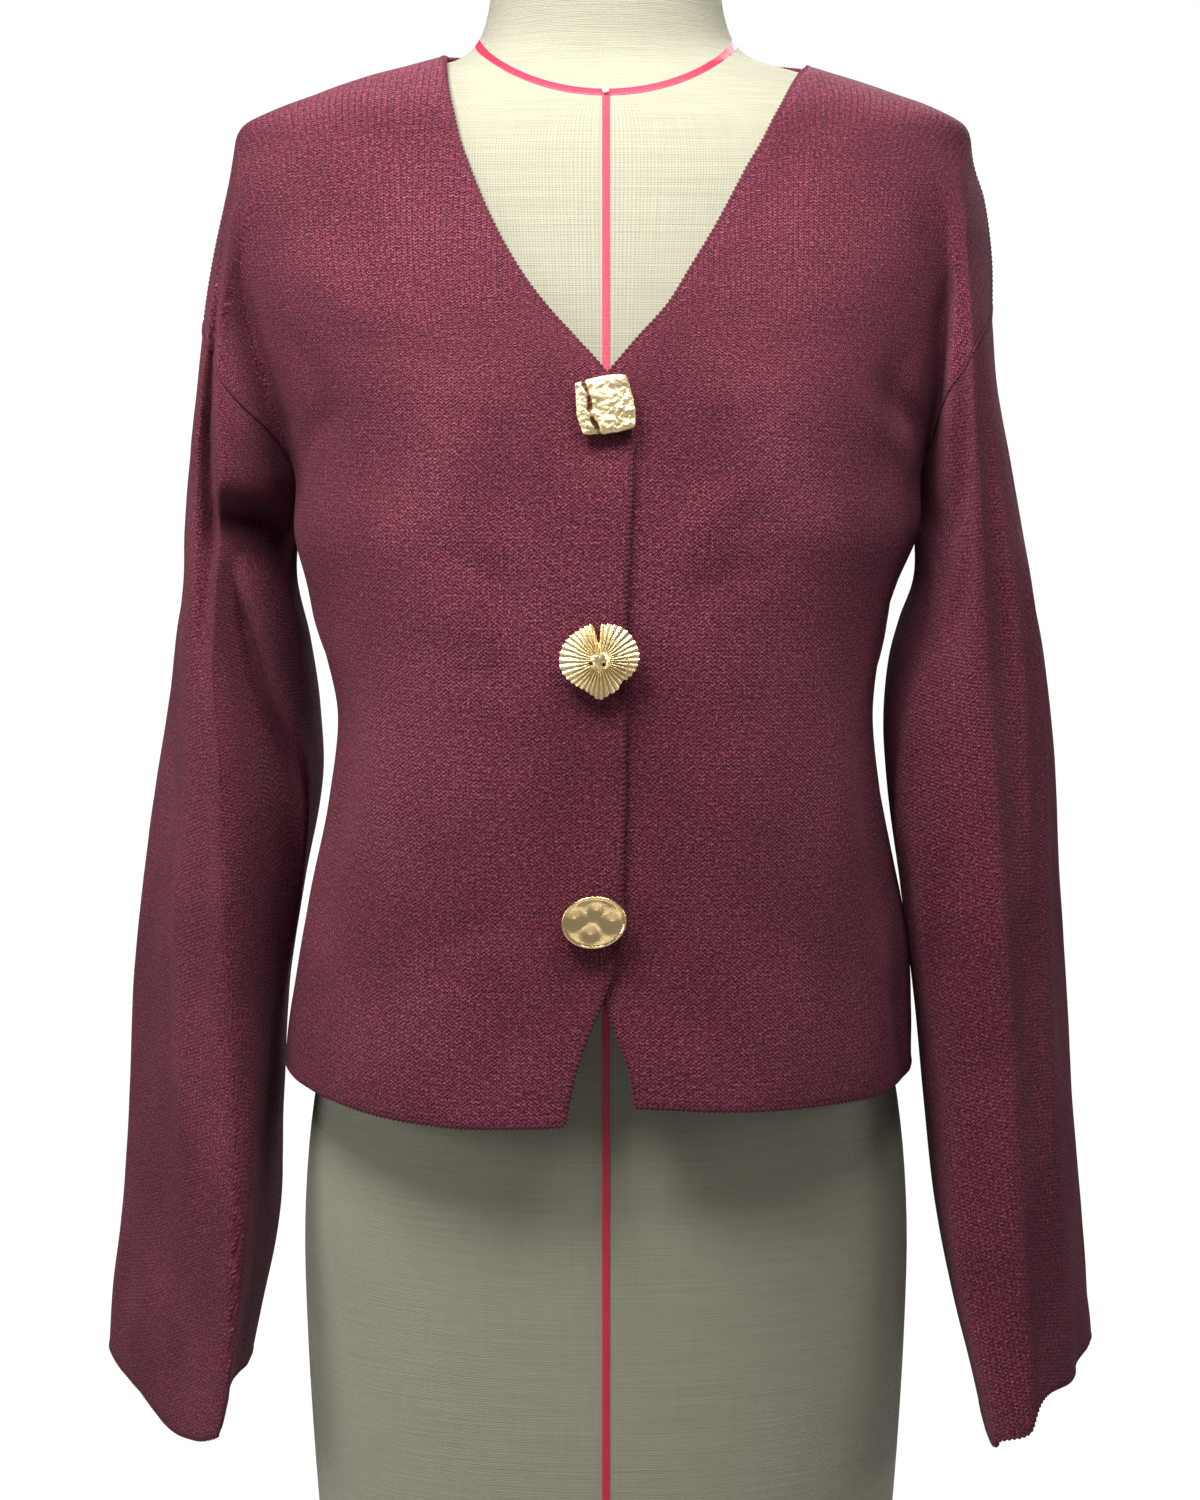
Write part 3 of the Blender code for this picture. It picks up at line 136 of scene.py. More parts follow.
# ---- The cardigan's body: half-widths to the sides, or to the shoulder seam above the shoulder's tip ----
BODY = table(
    "z right_side left_side front back power",
    (0.7660, 0.1585, 0.1510, 0.1330, 0.1260, 2.35),
    (0.7900, 0.1560, 0.1505, 0.1325, 0.1240, 2.35),
    (0.8250, 0.1490, 0.1475, 0.1315, 0.1200, 2.40),
    (0.8650, 0.1425, 0.1405, 0.1305, 0.1160, 2.45),
    (0.9000, 0.1365, 0.1355, 0.1300, 0.1120, 2.50),
    (0.9400, 0.1325, 0.1315, 0.1300, 0.1090, 2.50),
    (0.9750, 0.1400, 0.1360, 0.1305, 0.1080, 2.45),
    (1.0050, 0.1490, 0.1450, 0.1308, 0.1090, 2.40),
    (1.0300, 0.1545, 0.1550, 0.1305, 0.1100, 2.35),
    (1.0560, 0.1540, 0.1565, 0.1290, 0.1100, 2.30),
    (1.0800, 0.1600, 0.1610, 0.1265, 0.1100, 2.30),
    (1.1000, 0.1674, 0.1645, 0.1235, 0.1095, 2.30),
    (1.1360, 0.1795, 0.1685, 0.1150, 0.1080, 2.30),
    (1.1650, 0.1860, 0.1750, 0.1060, 0.1055, 2.30),
    (1.1950, 0.1885, 0.1810, 0.0960, 0.1010, 2.30),
    (1.2160, 0.1860, 0.1825, 0.0875, 0.0960, 2.25),
    (1.2295, 0.1810, 0.1790, 0.0820, 0.0905, 2.25),
    (1.2370, 0.1670, 0.1660, 0.0785, 0.0870, 2.20),
    (1.2455, 0.1440, 0.1445, 0.0725, 0.0820, 2.15),
    (1.2540, 0.1185, 0.1190, 0.0665, 0.0765, 2.10),
    (1.2600, 0.0965, 0.0970, 0.0625, 0.0725, 2.05),
    (1.2650, 0.0795, 0.0795, 0.0605, 0.0690, 2.00),
    (1.2750, 0.0675, 0.0675, 0.0585, 0.0645, 2.00),
)

# Where the chest and the back meet the arm, above the underarm: the valley's distance from the side plane.
RIGHT_VALLEY = table(
    "z front back",
    (1.0300, 0.004, 0.004),
    (1.0560, 0.018, 0.022),
    (1.0800, 0.029, 0.038),
    (1.1000, 0.035, 0.048),
    (1.1360, 0.042, 0.056),
    (1.1650, 0.048, 0.058),
    (1.1950, 0.051, 0.056),
    (1.2295, 0.046, 0.048),
)
LEFT_VALLEY = table(
    "z front back",
    (1.0300, 0.004, 0.004),
    (1.0560, 0.014, 0.022),
    (1.0800, 0.024, 0.038),
    (1.1000, 0.030, 0.048),
    (1.1360, 0.039, 0.056),
    (1.1650, 0.050, 0.058),
    (1.1950, 0.058, 0.056),
    (1.2295, 0.050, 0.048),
)

# The arm's outer line and its two long folds, one facing forward and one facing back.
RIGHT_FOLDS = table(
    "z outer fold_x fold_y heel_x heel_y",
    (0.590, 0.2340, 0.1865, -0.0800, 0.2585, 0.058),
    (0.630, 0.2300, 0.1790, -0.0770, 0.2560, 0.060),
    (0.680, 0.2250, 0.1770, -0.0690, 0.2505, 0.062),
    (0.740, 0.2220, 0.1780, -0.0600, 0.2455, 0.062),
    (0.800, 0.2205, 0.1800, -0.0570, 0.2410, 0.060),
    (0.850, 0.2180, 0.1830, -0.0580, 0.2360, 0.059),
    (0.900, 0.2155, 0.1850, -0.0600, 0.2300, 0.060),
    (0.940, 0.2145, 0.1860, -0.0615, 0.2245, 0.063),
    (0.975, 0.2145, 0.1865, -0.0625, 0.2185, 0.065),
    (1.005, 0.2115, 0.1855, -0.0635, 0.2125, 0.066),
    (1.030, 0.2110, 0.1840, -0.0635, 0.2075, 0.065),
    (1.070, 0.2075, 0.1865, -0.0610, 0.2020, 0.064),
    (1.100, 0.2040, 0.1865, -0.0600, 0.1975, 0.062),
    (1.136, 0.2005, 0.1850, -0.0560, 0.1930, 0.058),
    (1.165, 0.1960, 0.1830, -0.0490, 0.1880, 0.053),
    (1.195, 0.1895, 0.1815, -0.0390, 0.1815, 0.046),
    (1.230, 0.1810, 0.1760, -0.0260, 0.1760, 0.026),
)
LEFT_FOLDS = table(
    "z outer fold_x fold_y heel_x heel_y",
    (0.590, 0.2370, 0.2005, -0.0820, 0.2510, 0.056),
    (0.620, 0.2360, 0.2010, -0.0780, 0.2500, 0.058),
    (0.655, 0.2340, 0.2005, -0.0740, 0.2475, 0.060),
    (0.700, 0.2300, 0.1985, -0.0700, 0.2430, 0.062),
    (0.745, 0.2260, 0.1950, -0.0680, 0.2395, 0.062),
    (0.800, 0.2220, 0.1915, -0.0660, 0.2345, 0.062),
    (0.850, 0.2200, 0.1895, -0.0650, 0.2310, 0.062),
    (0.900, 0.2190, 0.1865, -0.0660, 0.2300, 0.063),
    (0.935, 0.2180, 0.1840, -0.0670, 0.2275, 0.064),
    (0.965, 0.2165, 0.1815, -0.0680, 0.2235, 0.065),
    (0.995, 0.2135, 0.1800, -0.0680, 0.2175, 0.066),
    (1.030, 0.2080, 0.1780, -0.0670, 0.2095, 0.066),
    (1.070, 0.2010, 0.1765, -0.0660, 0.2015, 0.065),
    (1.100, 0.1955, 0.1755, -0.0640, 0.1960, 0.062),
    (1.136, 0.1930, 0.1750, -0.0595, 0.1915, 0.058),
    (1.165, 0.1925, 0.1735, -0.0535, 0.1890, 0.052),
    (1.195, 0.1885, 0.1730, -0.0440, 0.1840, 0.045),
    (1.230, 0.1790, 0.1740, -0.0260, 0.1740, 0.026),
)


def ruck(*rows):
    """A ruck along the arm: the share of the way round at which it lies at each height, how far it is pushed
    outwards and stands out from the arm's face, and its reach."""
    return table("z share out lift reach", *rows)


RIGHT_LOBE = ruck(  # the arm's front, which comes out from under the shelf and dies away at the elbow
    (0.870, 0.10, 0.000, 0.000, 0.080),
    (0.895, 0.12, 0.000, 0.005, 0.080),
    (0.915, 0.16, 0.000, 0.010, 0.080),
    (0.945, 0.23, 0.001, 0.009, 0.080),
    (0.985, 0.28, 0.002, 0.008, 0.080),
    (1.005, 0.31, 0.001, 0.006, 0.080),
    (1.025, 0.33, 0.000, 0.000, 0.080),
)
RIGHT_LAP = ruck(  # the deep fold that it laps over
    (0.845, 0.19, 0.000, 0.000, 0.090),
    (0.870, 0.21, 0.000, -0.005, 0.090),
    (0.895, 0.25, 0.000, -0.011, 0.085),
    (0.915, 0.29, 0.000, -0.017, 0.085),
    (0.945, 0.36, -0.001, -0.022, 0.085),
    (0.985, 0.41, -0.002, -0.021, 0.080),
    (1.005, 0.44, -0.001, -0.014, 0.080),
    (1.025, 0.47, 0.000, -0.006, 0.080),
    (1.045, 0.50, 0.000, 0.000, 0.080),
)
RIGHT_SIDE = ruck(  # a trough outside the ridge of the dropped shoulder
    (0.950, 0.61, 0.000, 0.000, 0.070),
    (1.000, 0.61, 0.000, -0.009, 0.065),
    (1.040, 0.61, 0.000, -0.017, 0.060),
    (1.080, 0.61, 0.000, -0.017, 0.056),
    (1.130, 0.61, 0.000, -0.011, 0.056),
    (1.170, 0.61, 0.000, -0.005, 0.056),
    (1.205, 0.61, 0.000, 0.000, 0.056),
)
RIGHT_SWELL = ruck(  # the arm's rounded outer side
    (0.620, 0.77, 0.000, 0.000, 0.140),
    (0.720, 0.77, 0.000, 0.004, 0.140),
    (0.850, 0.77, 0.001, 0.007, 0.140),
    (0.980, 0.77, 0.001, 0.008, 0.130),
    (1.060, 0.77, 0.001, 0.007, 0.120),
    (1.140, 0.77, 0.000, 0.000, 0.120),
)
RIGHT_SHELF = ruck(  # the lower edge of the dropped shoulder, and the hollow under it
    (0.980, 0.30, 0.000, 0.000, 0.180),
    (1.000, 0.30, 0.000, -0.004, 0.180),
    (1.016, 0.31, 0.001, -0.013, 0.180),
    (1.028, 0.32, 0.002, -0.027, 0.180),
    (1.037, 0.33, 0.002, -0.028, 0.180),
    (1.044, 0.33, 0.000, -0.004, 0.180),
    (1.051, 0.32, 0.000, 0.011, 0.180),
    (1.066, 0.31, 0.000, 0.013, 0.180),
    (1.095, 0.30, 0.000, 0.007, 0.180),
    (1.130, 0.30, 0.000, 0.000, 0.180),
)
LEFT_BROW = ruck(  # the round inner lip of the arm's front, over the valley
    (0.975, 0.24, 0.000, 0.000, 0.120),
    (1.005, 0.24, -0.002, 0.005, 0.120),
    (1.040, 0.23, -0.004, 0.013, 0.120),
    (1.080, 0.22, -0.005, 0.018, 0.120),
    (1.120, 0.22, -0.004, 0.015, 0.120),
    (1.155, 0.22, -0.001, 0.006, 0.120),
    (1.190, 0.22, 0.000, 0.000, 0.120),
)
LEFT_TROUGH = ruck(  # a shallow trough outside the arm's front ridge
    (0.620, 0.62, 0.000, 0.000, 0.080),
    (0.700, 0.62, 0.000, -0.003, 0.080),
    (0.850, 0.62, 0.000, -0.004, 0.080),
    (0.980, 0.61, 0.000, -0.005, 0.070),
    (1.080, 0.61, 0.000, -0.005, 0.060),
    (1.170, 0.60, 0.000, 0.000, 0.060),
)
LEFT_SWELL = ruck(  # the arm's rounded outer side
    (0.610, 0.80, 0.002, 0.008, 0.160),
    (0.720, 0.80, 0.003, 0.012, 0.160),
    (0.850, 0.80, 0.003, 0.013, 0.160),
    (0.980, 0.80, 0.003, 0.012, 0.160),
    (1.060, 0.80, 0.001, 0.007, 0.150),
    (1.140, 0.80, 0.000, 0.000, 0.150),
)
BACK_LAP = ruck(  # a softer fold down the back of each arm
    (0.700, 0.33, 0.000, 0.000, 0.110),
    (0.800, 0.33, 0.000, -0.005, 0.110),
    (0.920, 0.32, 0.000, -0.008, 0.110),
    (1.020, 0.31, 0.000, -0.006, 0.110),
    (1.100, 0.30, 0.000, -0.003, 0.110),
    (1.150, 0.30, 0.000, 0.000, 0.110),
)
RUCKS = {
    (RIGHT, FRONT): (RIGHT_LOBE, RIGHT_LAP, RIGHT_SIDE, RIGHT_SWELL, RIGHT_SHELF),
    (LEFT, FRONT): (LEFT_BROW, LEFT_TROUGH, LEFT_SWELL),
    (RIGHT, BACK): (BACK_LAP,),
    (LEFT, BACK): (BACK_LAP,),
}

# The sleeve's inner face below the underarm: its front and back corners, next to the body.
RIGHT_INNER = table(
    "z front_x front_y back_x back_y",
    (0.590, 0.1860, -0.042, 0.1890, 0.040),
    (0.630, 0.1800, -0.036, 0.1800, 0.043),
    (0.680, 0.1710, -0.026, 0.1710, 0.045),
    (0.740, 0.1660, -0.014, 0.1700, 0.048),
    (0.800, 0.1630, -0.006, 0.1670, 0.050),
    (0.850, 0.1560, -0.004, 0.1590, 0.048),
    (0.900, 0.1495, -0.007, 0.1490, 0.044),
    (0.940, 0.1490, -0.010, 0.1495, 0.036),
    (0.975, 0.1530, -0.012, 0.1530, 0.028),
    (1.005, 0.1575, -0.0120, 0.1575, 0.0160),
    (1.030, 0.1545, -0.004, 0.1545, 0.004),
)
LEFT_INNER = table(
    "z front_x front_y back_x back_y",
    (0.590, 0.1855, -0.076, 0.1960, 0.038),
    (0.620, 0.1795, -0.072, 0.1900, 0.040),
    (0.655, 0.1715, -0.067, 0.1825, 0.042),
    (0.700, 0.1630, -0.063, 0.1755, 0.045),
    (0.745, 0.1590, -0.060, 0.1705, 0.048),
    (0.800, 0.1535, -0.057, 0.1660, 0.048),
    (0.850, 0.1480, -0.054, 0.1590, 0.042),
    (0.900, 0.1430, -0.051, 0.1500, 0.034),
    (0.935, 0.1440, -0.051, 0.1450, 0.026),
    (0.965, 0.1500, -0.050, 0.1455, 0.020),
    (0.985, 0.1560, -0.046, 0.1500, 0.018),
    (1.005, 0.1590, -0.036, 0.1565, 0.012),
    (1.030, 0.1550, -0.004, 0.1550, 0.004),
)

# The cuff's edge: how much higher than its lowest place it is, by the share of the way round the arm.
CUFF = table(
    "share right_front right_back left_front left_back",
    (0.00, 0.006, 0.006, 0.001, 0.001),
    (0.15, 0.010, 0.005, 0.000, 0.003),
    (0.30, 0.010, 0.003, 0.002, 0.006),
    (0.42, 0.005, 0.001, 0.010, 0.010),
    (0.50, 0.001, 0.000, 0.015, 0.013),
    (0.56, -0.002, -0.001, 0.024, 0.015),
    (0.64, -0.006, -0.002, 0.027, 0.017),
    (0.78, -0.010, -0.004, 0.025, 0.019),
    (1.00, -0.006, -0.006, 0.021, 0.021),
)

# The armhole seam, from the underarm at step 0 to the shoulder line at step 1: its share of the way round the
# arm from the valley to the outer line, and its height. It climbs in the valley before it turns outwards.
ARMHOLE = table(
    "step share right_z left_z",
    (0.00, 0.00, UNDERARM_Z, UNDERARM_Z),
    (0.08, 0.00, 1.045, 1.047),
    (0.16, 0.01, 1.060, 1.063),
    (0.26, 0.08, 1.074, 1.079),
    (0.36, 0.19, 1.085, 1.093),
    (0.50, 0.36, 1.099, 1.109),
    (0.65, 0.56, 1.112, 1.120),
    (0.82, 0.78, 1.124, 1.131),
    (1.00, 1.00, 1.133, 1.141),
)
SHARE_SETTLES = 0.2  # the share of the sleeve's length over which its columns spread evenly

# The fronts' inner edges: the cutaway under the last button, the overlap, and the V of the neckline.
RIGHT_EDGE = table(
    "z x",
    (0.7660, -0.0190),
    (0.7850, -0.0155),
    (0.8050, -0.0090),
    (0.8250, -0.0010),
    (0.8450, 0.0055),
    (0.8700, 0.0065),
    (0.9100, 0.0075),
    (1.0000, 0.0085),
    (1.0700, 0.0115),
    (1.0880, 0.0095),
    (1.1050, 0.0000),
    (1.1220, -0.0150),
    (1.1370, -0.0285),
    (1.1530, -0.0405),
    (1.1760, -0.0535),
    (1.2030, -0.0650),
    (1.2310, -0.0735),
    (1.2500, -0.0775),
    (1.2650, -0.0795),
)
LEFT_EDGE = table(
    "z x",
    (0.7660, 0.0135),
    (0.7850, 0.0110),
    (0.8050, 0.0050),
    (0.8250, -0.0020),
    (0.8450, -0.0110),
    (0.8700, -0.0180),
    (0.9100, -0.0200),
    (1.0700, -0.0200),
    (1.0880, -0.0140),
    (1.1050, 0.0010),
    (1.1220, 0.0155),
    (1.1370, 0.0290),
    (1.1530, 0.0390),
    (1.1760, 0.0528),
    (1.2030, 0.0672),
    (1.2310, 0.0826),
    (1.2480, 0.0920),
    (1.2590, 0.1005),
)
NECK_POINT_Z = {RIGHT: RIGHT_EDGE[-1].z, LEFT: LEFT_EDGE[-1].z}

# How far the hem lies above HEM_Z, by the distance from the middle plane.
HEM = table(
    "x right_front left_front back",
    (0.00, 0.0010, 0.0080, 0.002),
    (0.02, 0.0000, 0.0075, 0.002),
    (0.06, -0.0030, 0.0045, 0.001),
    (0.10, -0.0020, 0.0030, 0.001),
    (0.13, 0.0010, 0.0020, 0.002),
    (0.16, 0.0045, 0.0045, 0.004),
)

# ---- Smooth reading of the tables ----------------------------------------------------------------------
FOLD_ROUNDNESS = 0.78  # 1 gives wide round folds, less gives tighter ones


def smooth_step(t):
    t = min(1.0, max(0.0, t))
    return t * t * (3.0 - 2.0 * t)


def curve_shares(t):
    """How much a smooth curve takes of its start, the slope that leaves it, its end, and the slope there."""
    t2, t3 = t * t, t * t * t
    return 2 * t3 - 3 * t2 + 1, t3 - 2 * t2 + t, 3 * t2 - 2 * t3, t3 - t2


def read_table(rows, key):
    """The row at `key`, with every column read from a smooth curve through the table's rows."""
    key = min(max(key, rows[0][0]), rows[-1][0])
    i = 0
    while i < len(rows) - 2 and rows[i + 1][0] <= key:
        i += 1
    a, b, c, d = rows[max(i - 1, 0)], rows[i], rows[i + 1], rows[min(i + 2, len(rows) - 1)]
    step = c[0] - b[0]
    start, leave, end, arrive = curve_shares((key - b[0]) / step)
    leave, arrive = leave * step, arrive * step
    values = [
        start * vb + end * vc + leave * (vc - va) / (c[0] - a[0]) + arrive * (vd - vb) / (d[0] - b[0])
        for va, vb, vc, vd in zip(a[1:], b[1:], c[1:], d[1:])
    ]
    return type(b)(key, *values)


def oval(angle, half_width, depth, power):
    """A point of a rounded section: x and distance from the side plane; angle 0 is the middle."""
    s, c = math.sin(angle), math.cos(angle)
    return math.copysign(abs(s) ** (2 / power), s) * half_width, max(c, 0.0) ** (2 / power) * depth


def span(a, b, c, d, t):
    """A smooth curve from b to c that comes from a and goes on to d."""
    step = (c - b).length
    leave = (c - a) / ((b - a).length + step) * step * FOLD_ROUNDNESS
    arrive = (d - b) / (step + (d - c).length) * step * FOLD_ROUNDNESS
    start_share, leave_share, end_share, arrive_share = curve_shares(t)
    return start_share * b + leave_share * leave + end_share * c + arrive_share * arrive


def distances(points):
    """How far along their line each of the points lies."""
    reached = [0.0]
    for p, q in zip(points, points[1:]):
        reached.append(reached[-1] + (q - p).length)
    return reached


def even_steps(reached, count):
    """For even distances along a line that reaches these, the piece of the line and the share of it."""
    i = 0
    for k in range(count + 1):
        goal = reached[-1] * k / count
        while i < len(reached) - 2 and reached[i + 1] < goal:
            i += 1
        yield i, (goal - reached[i]) / (reached[i + 1] - reached[i])


def neighbours(k, last, closed=False):
    """The places before and after this one; a closed line has its first place again as its last."""
    if closed and k in (0, last):
        return last - 1, 1
    return max(k - 1, 0), min(k + 1, last)


# ---- The cloth's outer surface -------------------------------------------------------------------------
VALLEY_SOFTNESS = 0.13  # the share of the way to the valley over which its crease is rounded
VALLEY_SOFTENS = 0.12  # the height above the underarm over which the rounding comes in
CORNER_SETTLES = 0.06  # the height over which the arm's far corner leaves the underarm
CORNER_SHARE = 0.8  # and where on the chest it then lies
RUCK_SETTLES = 0.15  # the share of the way round over which the rucks rise from the valley and the outer line


@lru_cache(maxsize=4096)
def body_row(side, face, z):
    row = read_table(BODY, z)
    half_width = row.right_side if side == RIGHT else row.left_side
    return half_width, row.front if face == FRONT else row.back, row.power


@lru_cache(maxsize=4096)
def valley_angle(side, face, z):
    """Where the body's section meets the arm; a quarter turn below the underarm."""
    if z <= UNDERARM_Z:
        return math.pi / 2
    valley = read_table(RIGHT_VALLEY if side == RIGHT else LEFT_VALLEY, z)
    _, depth, power = body_row(side, face, z)
    inset = (valley.front if face == FRONT else valley.back) - RIGHT_VALLEY[0].front
    return math.acos((inset / depth) ** (power / 2)) if inset > 0 else math.pi / 2


def chest_point(side, face, z, share):
    """The body's outside from the middle at share 0 to the valley, or the side seam, at share 1."""
    half_width, depth, power = body_row(side, face, z)
    x, y = oval(share * valley_angle(side, face, z), half_width, depth, power)
    return Vector((x, face * y))


@lru_cache(maxsize=4096)
def arm_corners(side, face, z):
    """The arm's corners in turn round the side: other valley, this valley, this fold, outer, other fold."""
    folds = read_table(RIGHT_FOLDS if side == RIGHT else LEFT_FOLDS, z)
    fold, heel = Vector((folds.fold_x, folds.fold_y)), Vector((folds.heel_x, folds.heel_y))
    if z < UNDERARM_Z:
        inner = read_table(RIGHT_INNER if side == RIGHT else LEFT_INNER, z)
        near, far = Vector((inner.front_x, inner.front_y)), Vector((inner.back_x, inner.back_y))
        if face == BACK:
            near, far = far, near
    else:
        near, far = chest_point(side, face, z, 1.0), chest_point(side, -face, z, 1.0)
        lift = smooth_step((z - UNDERARM_Z) / CORNER_SETTLES)
        far = far.lerp(chest_point(side, face, z, CORNER_SHARE), lift)
    outer = Vector((folds.outer, 0.0))
    return (far, near, fold, outer, heel) if face == FRONT else (far, near, heel, outer, fold)


@lru_cache(maxsize=4096)
def ruck_rows(side, face, z):
    """The rucks that cross the arm at this height."""
    return [row for row in (read_table(rows, z) for rows in RUCKS[side, face]) if row.lift]


def arm_point(side, face, z, share):
    """The arm's outside from share 0, at the valley or under the arm, by the fold at 0.5, to the outer line."""
    far, near, fold, outer, other = arm_corners(side, face, z)
    if share >= 0.5:
        point = span(near, fold, outer, other, share * 2 - 1)
    elif z < UNDERARM_Z:
        bridge = (near - far).length / 2
        part = bridge / (bridge + (fold - near).length)
        if share * 2 < part:
            point = span(other, far, near, fold, 0.5 + share / part)
        else:
            point = span(far, near, fold, outer, (share * 2 - part) / (1 - part))
    else:
        point = span(far, near, fold, outer, share * 2)
    settled = smooth_step(share / RUCK_SETTLES) * smooth_step((1 - share) / RUCK_SETTLES)
    for row in ruck_rows(side, face, z):
        swell = settled * math.exp(-(((share - row.share) / row.reach) ** 2))
        point = point + Vector((row.out, face * row.lift)) * swell
    if z > FREE_SHOULDER_Z:
        start = valley_angle(side, face, z)
        x, y = oval(start + (math.pi / 2 - start) * share, *body_row(side, face, z))
        fade = smooth_step((z - FREE_SHOULDER_Z) / (SHOULDER_TIP_Z - FREE_SHOULDER_Z))
        point = point.lerp(Vector((x, face * y)), fade)
    return point


@lru_cache(maxsize=4096)
def form_row(z):
    return read_table(FORM, z)


def clear_of_form(x, y, z):
    """Moves a point of the cloth's outside straight out until the wall behind it clears the form."""
    row = form_row(z - FORM_EASE)
    depth = row.front if y < 0 else row.back
    reach = (abs(x) / (row.half_width + FORM_EASE)) ** row.power + (abs(y) / (depth + FORM_EASE)) ** row.power
    grow = reach ** (-1 / row.power) if 0 < reach < 1 else 1.0
    return x * grow, y * grow


def skin(side, face, z, way):
    """The cloth's outside: way 0 is the middle, 1 the valley or side seam, 2 the arm's outer line."""
    low, high = 1 - VALLEY_SOFTNESS, 1 + VALLEY_SOFTNESS
    if z > UNDERARM_Z and low < way < high:
        soft = smooth_step((z - UNDERARM_Z) / VALLEY_SOFTENS)
        t = (way - low) / (high - low)
        a, c = chest_point(side, face, z, low), arm_point(side, face, z, VALLEY_SOFTNESS)
        b = chest_point(side, face, z, 1.0)
        sharp = chest_point(side, face, z, way) if way <= 1 else arm_point(side, face, z, way - 1)
        point = sharp.lerp((1 - t) ** 2 * a + 2 * t * (1 - t) * b + t * t * c, soft)
    elif z <= UNDERARM_Z or way <= 1:
        point = chest_point(side, face, z, min(way, 1.0))
    else:
        point = arm_point(side, face, z, way - 1)
    x, y = clear_of_form(point.x, point.y, z)
    return Vector((side * x, y, z))


def way_at(side, face, z, x):
    """The way at which the chest's section passes this distance from the middle plane."""
    half_width, _, power = body_row(side, face, z)
    angle = math.asin(min(abs(x) / half_width, 1.0) ** (power / 2))
    valley = valley_angle(side, face, z)
    way = angle / valley if angle <= valley else 1 + (angle - valley) / (math.pi / 2 - valley)
    return math.copysign(way, x)


# ---- Seams and edges, as lines of (z, way) -------------------------------------------------------------
LINE_STEPS = 240


def even_line(side, face, line, count):
    """Points at even distances along a finely stepped line of (z, way) on the outer surface."""
    reached = distances([skin(side, face, z, way) for z, way in line])
    return [
        tuple(a + (b - a) * t for a, b in zip(line[i], line[i + 1])) for i, t in even_steps(reached, count)
    ]


def front_edge_way(side, z):
    x = read_table(RIGHT_EDGE if side == RIGHT else LEFT_EDGE, z).x
    return way_at(side, FRONT, z, side * x)


def neckline(side, count):
    """The front's inner edge from the underarm's height up to the neck point."""
    top = NECK_POINT_Z[side]
    heights = [UNDERARM_Z + (top - UNDERARM_Z) * (1 - (1 - k / LINE_STEPS) ** 2) for k in range(LINE_STEPS)]
    line = [(z, front_edge_way(side, z)) for z in heights] + [(top, 2.0)]
    return even_line(side, FRONT, line, count)


def seam_place(side, step):
    """Height and share of the armhole seam."""
    row = read_table(ARMHOLE, step)
    return (row.right_z if side == RIGHT else row.left_z), min(max(row.share, 0.0), 1.0)


def armhole(side, count):
    return [(z, 1 + share) for z, share in (seam_place(side, k / count) for k in range(count + 1))]


def shoulder_line(side, face):
    """The shoulder seam from the neck point over the shoulder's tip to the armhole."""
    line = []
    heights = (NECK_POINT_Z[side], SHOULDER_TIP_Z, seam_place(side, 1.0)[0])
    for top, low, count in zip(heights, heights[1:], (SHOULDER_COLUMNS, DROP_COLUMNS)):
        fine = [(top + (low - top) * k / LINE_STEPS, 2.0) for k in range(LINE_STEPS + 1)]
        line = line[:-1] + even_line(side, face, fine, count)
    return line


def back_neckline(side):
    """The back neckline from the middle to the neck point."""
    top = NECK_POINT_Z[side]
    fine = [(BACK_NECK_Z + (top - BACK_NECK_Z) * (k / 24) ** 2, k / 12) for k in range(25)]
    return even_line(side, BACK, fine, NECK_COLUMNS)


def patch(left, right, bottom, top):
    """Rows of (z, way) that fill the four lines: left and right run up, bottom and top run outwards."""
    rows, nu, nv = [], len(bottom) - 1, len(left) - 1
    for j in range(nv + 1):
        v, row = j / nv, []
        for i in range(nu + 1):
            u = i / nu
            row.append(tuple(
                (1 - v) * bottom[i][k] + v * top[i][k] + (1 - u) * left[j][k] + u * right[j][k]
                - (1 - u) * ((1 - v) * bottom[0][k] + v * top[0][k])
                - u * ((1 - v) * bottom[nu][k] + v * top[nu][k])
                for k in (0, 1)
            ))
        rows.append(row)
    return rows


def level_row(z, start, count):
    return [(z, start + (1 - start) * i / count) for i in range(count + 1)]


def lower_rows(side, face, count):
    """Rows of (z, way) from the hem to the underarm."""
    rows = []
    for j in range(LOWER_ROWS):
        z = HEM_Z + (UNDERARM_Z - HEM_Z) * j / LOWER_ROWS
        start = front_edge_way(side, z) if face == FRONT else 0.0
        rows.append(level_row(z, start, count))
    return rows


def half_rows(side, face):
    """All rows of (z, way) of one front, or of one half of the back, from the middle outwards."""
    top = shoulder_line(side, face)
    if face == FRONT:
        left = neckline(side, UPPER_ROWS)
    else:
        rise = BACK_NECK_Z - UNDERARM_Z
        left = [(UNDERARM_Z + rise * j / UPPER_ROWS, 0.0) for j in range(UPPER_ROWS + 1)]
        top = back_neckline(side)[:-1] + top
    count = len(top) - 1
    bottom = level_row(UNDERARM_Z, left[0][1], count)
    return lower_rows(side, face, count) + patch(left, armhole(side, UPPER_ROWS), bottom, top)


# ---- The knitted pieces' outer points ------------------------------------------------------------------
HEM_FADES = 0.05  # the height over which the hem's line fades out
OVERLAP_FADES = 0.026  # the reach over which the overlap's lift fades out
OVERLAP_TOP_Z = 1.108  # where the lift starts to fade into the neckline
OVERLAP_TOP_FADES = 0.035
SIDE_WAY = 0.7  # from here to the side seam the fronts' hems turn into the back's


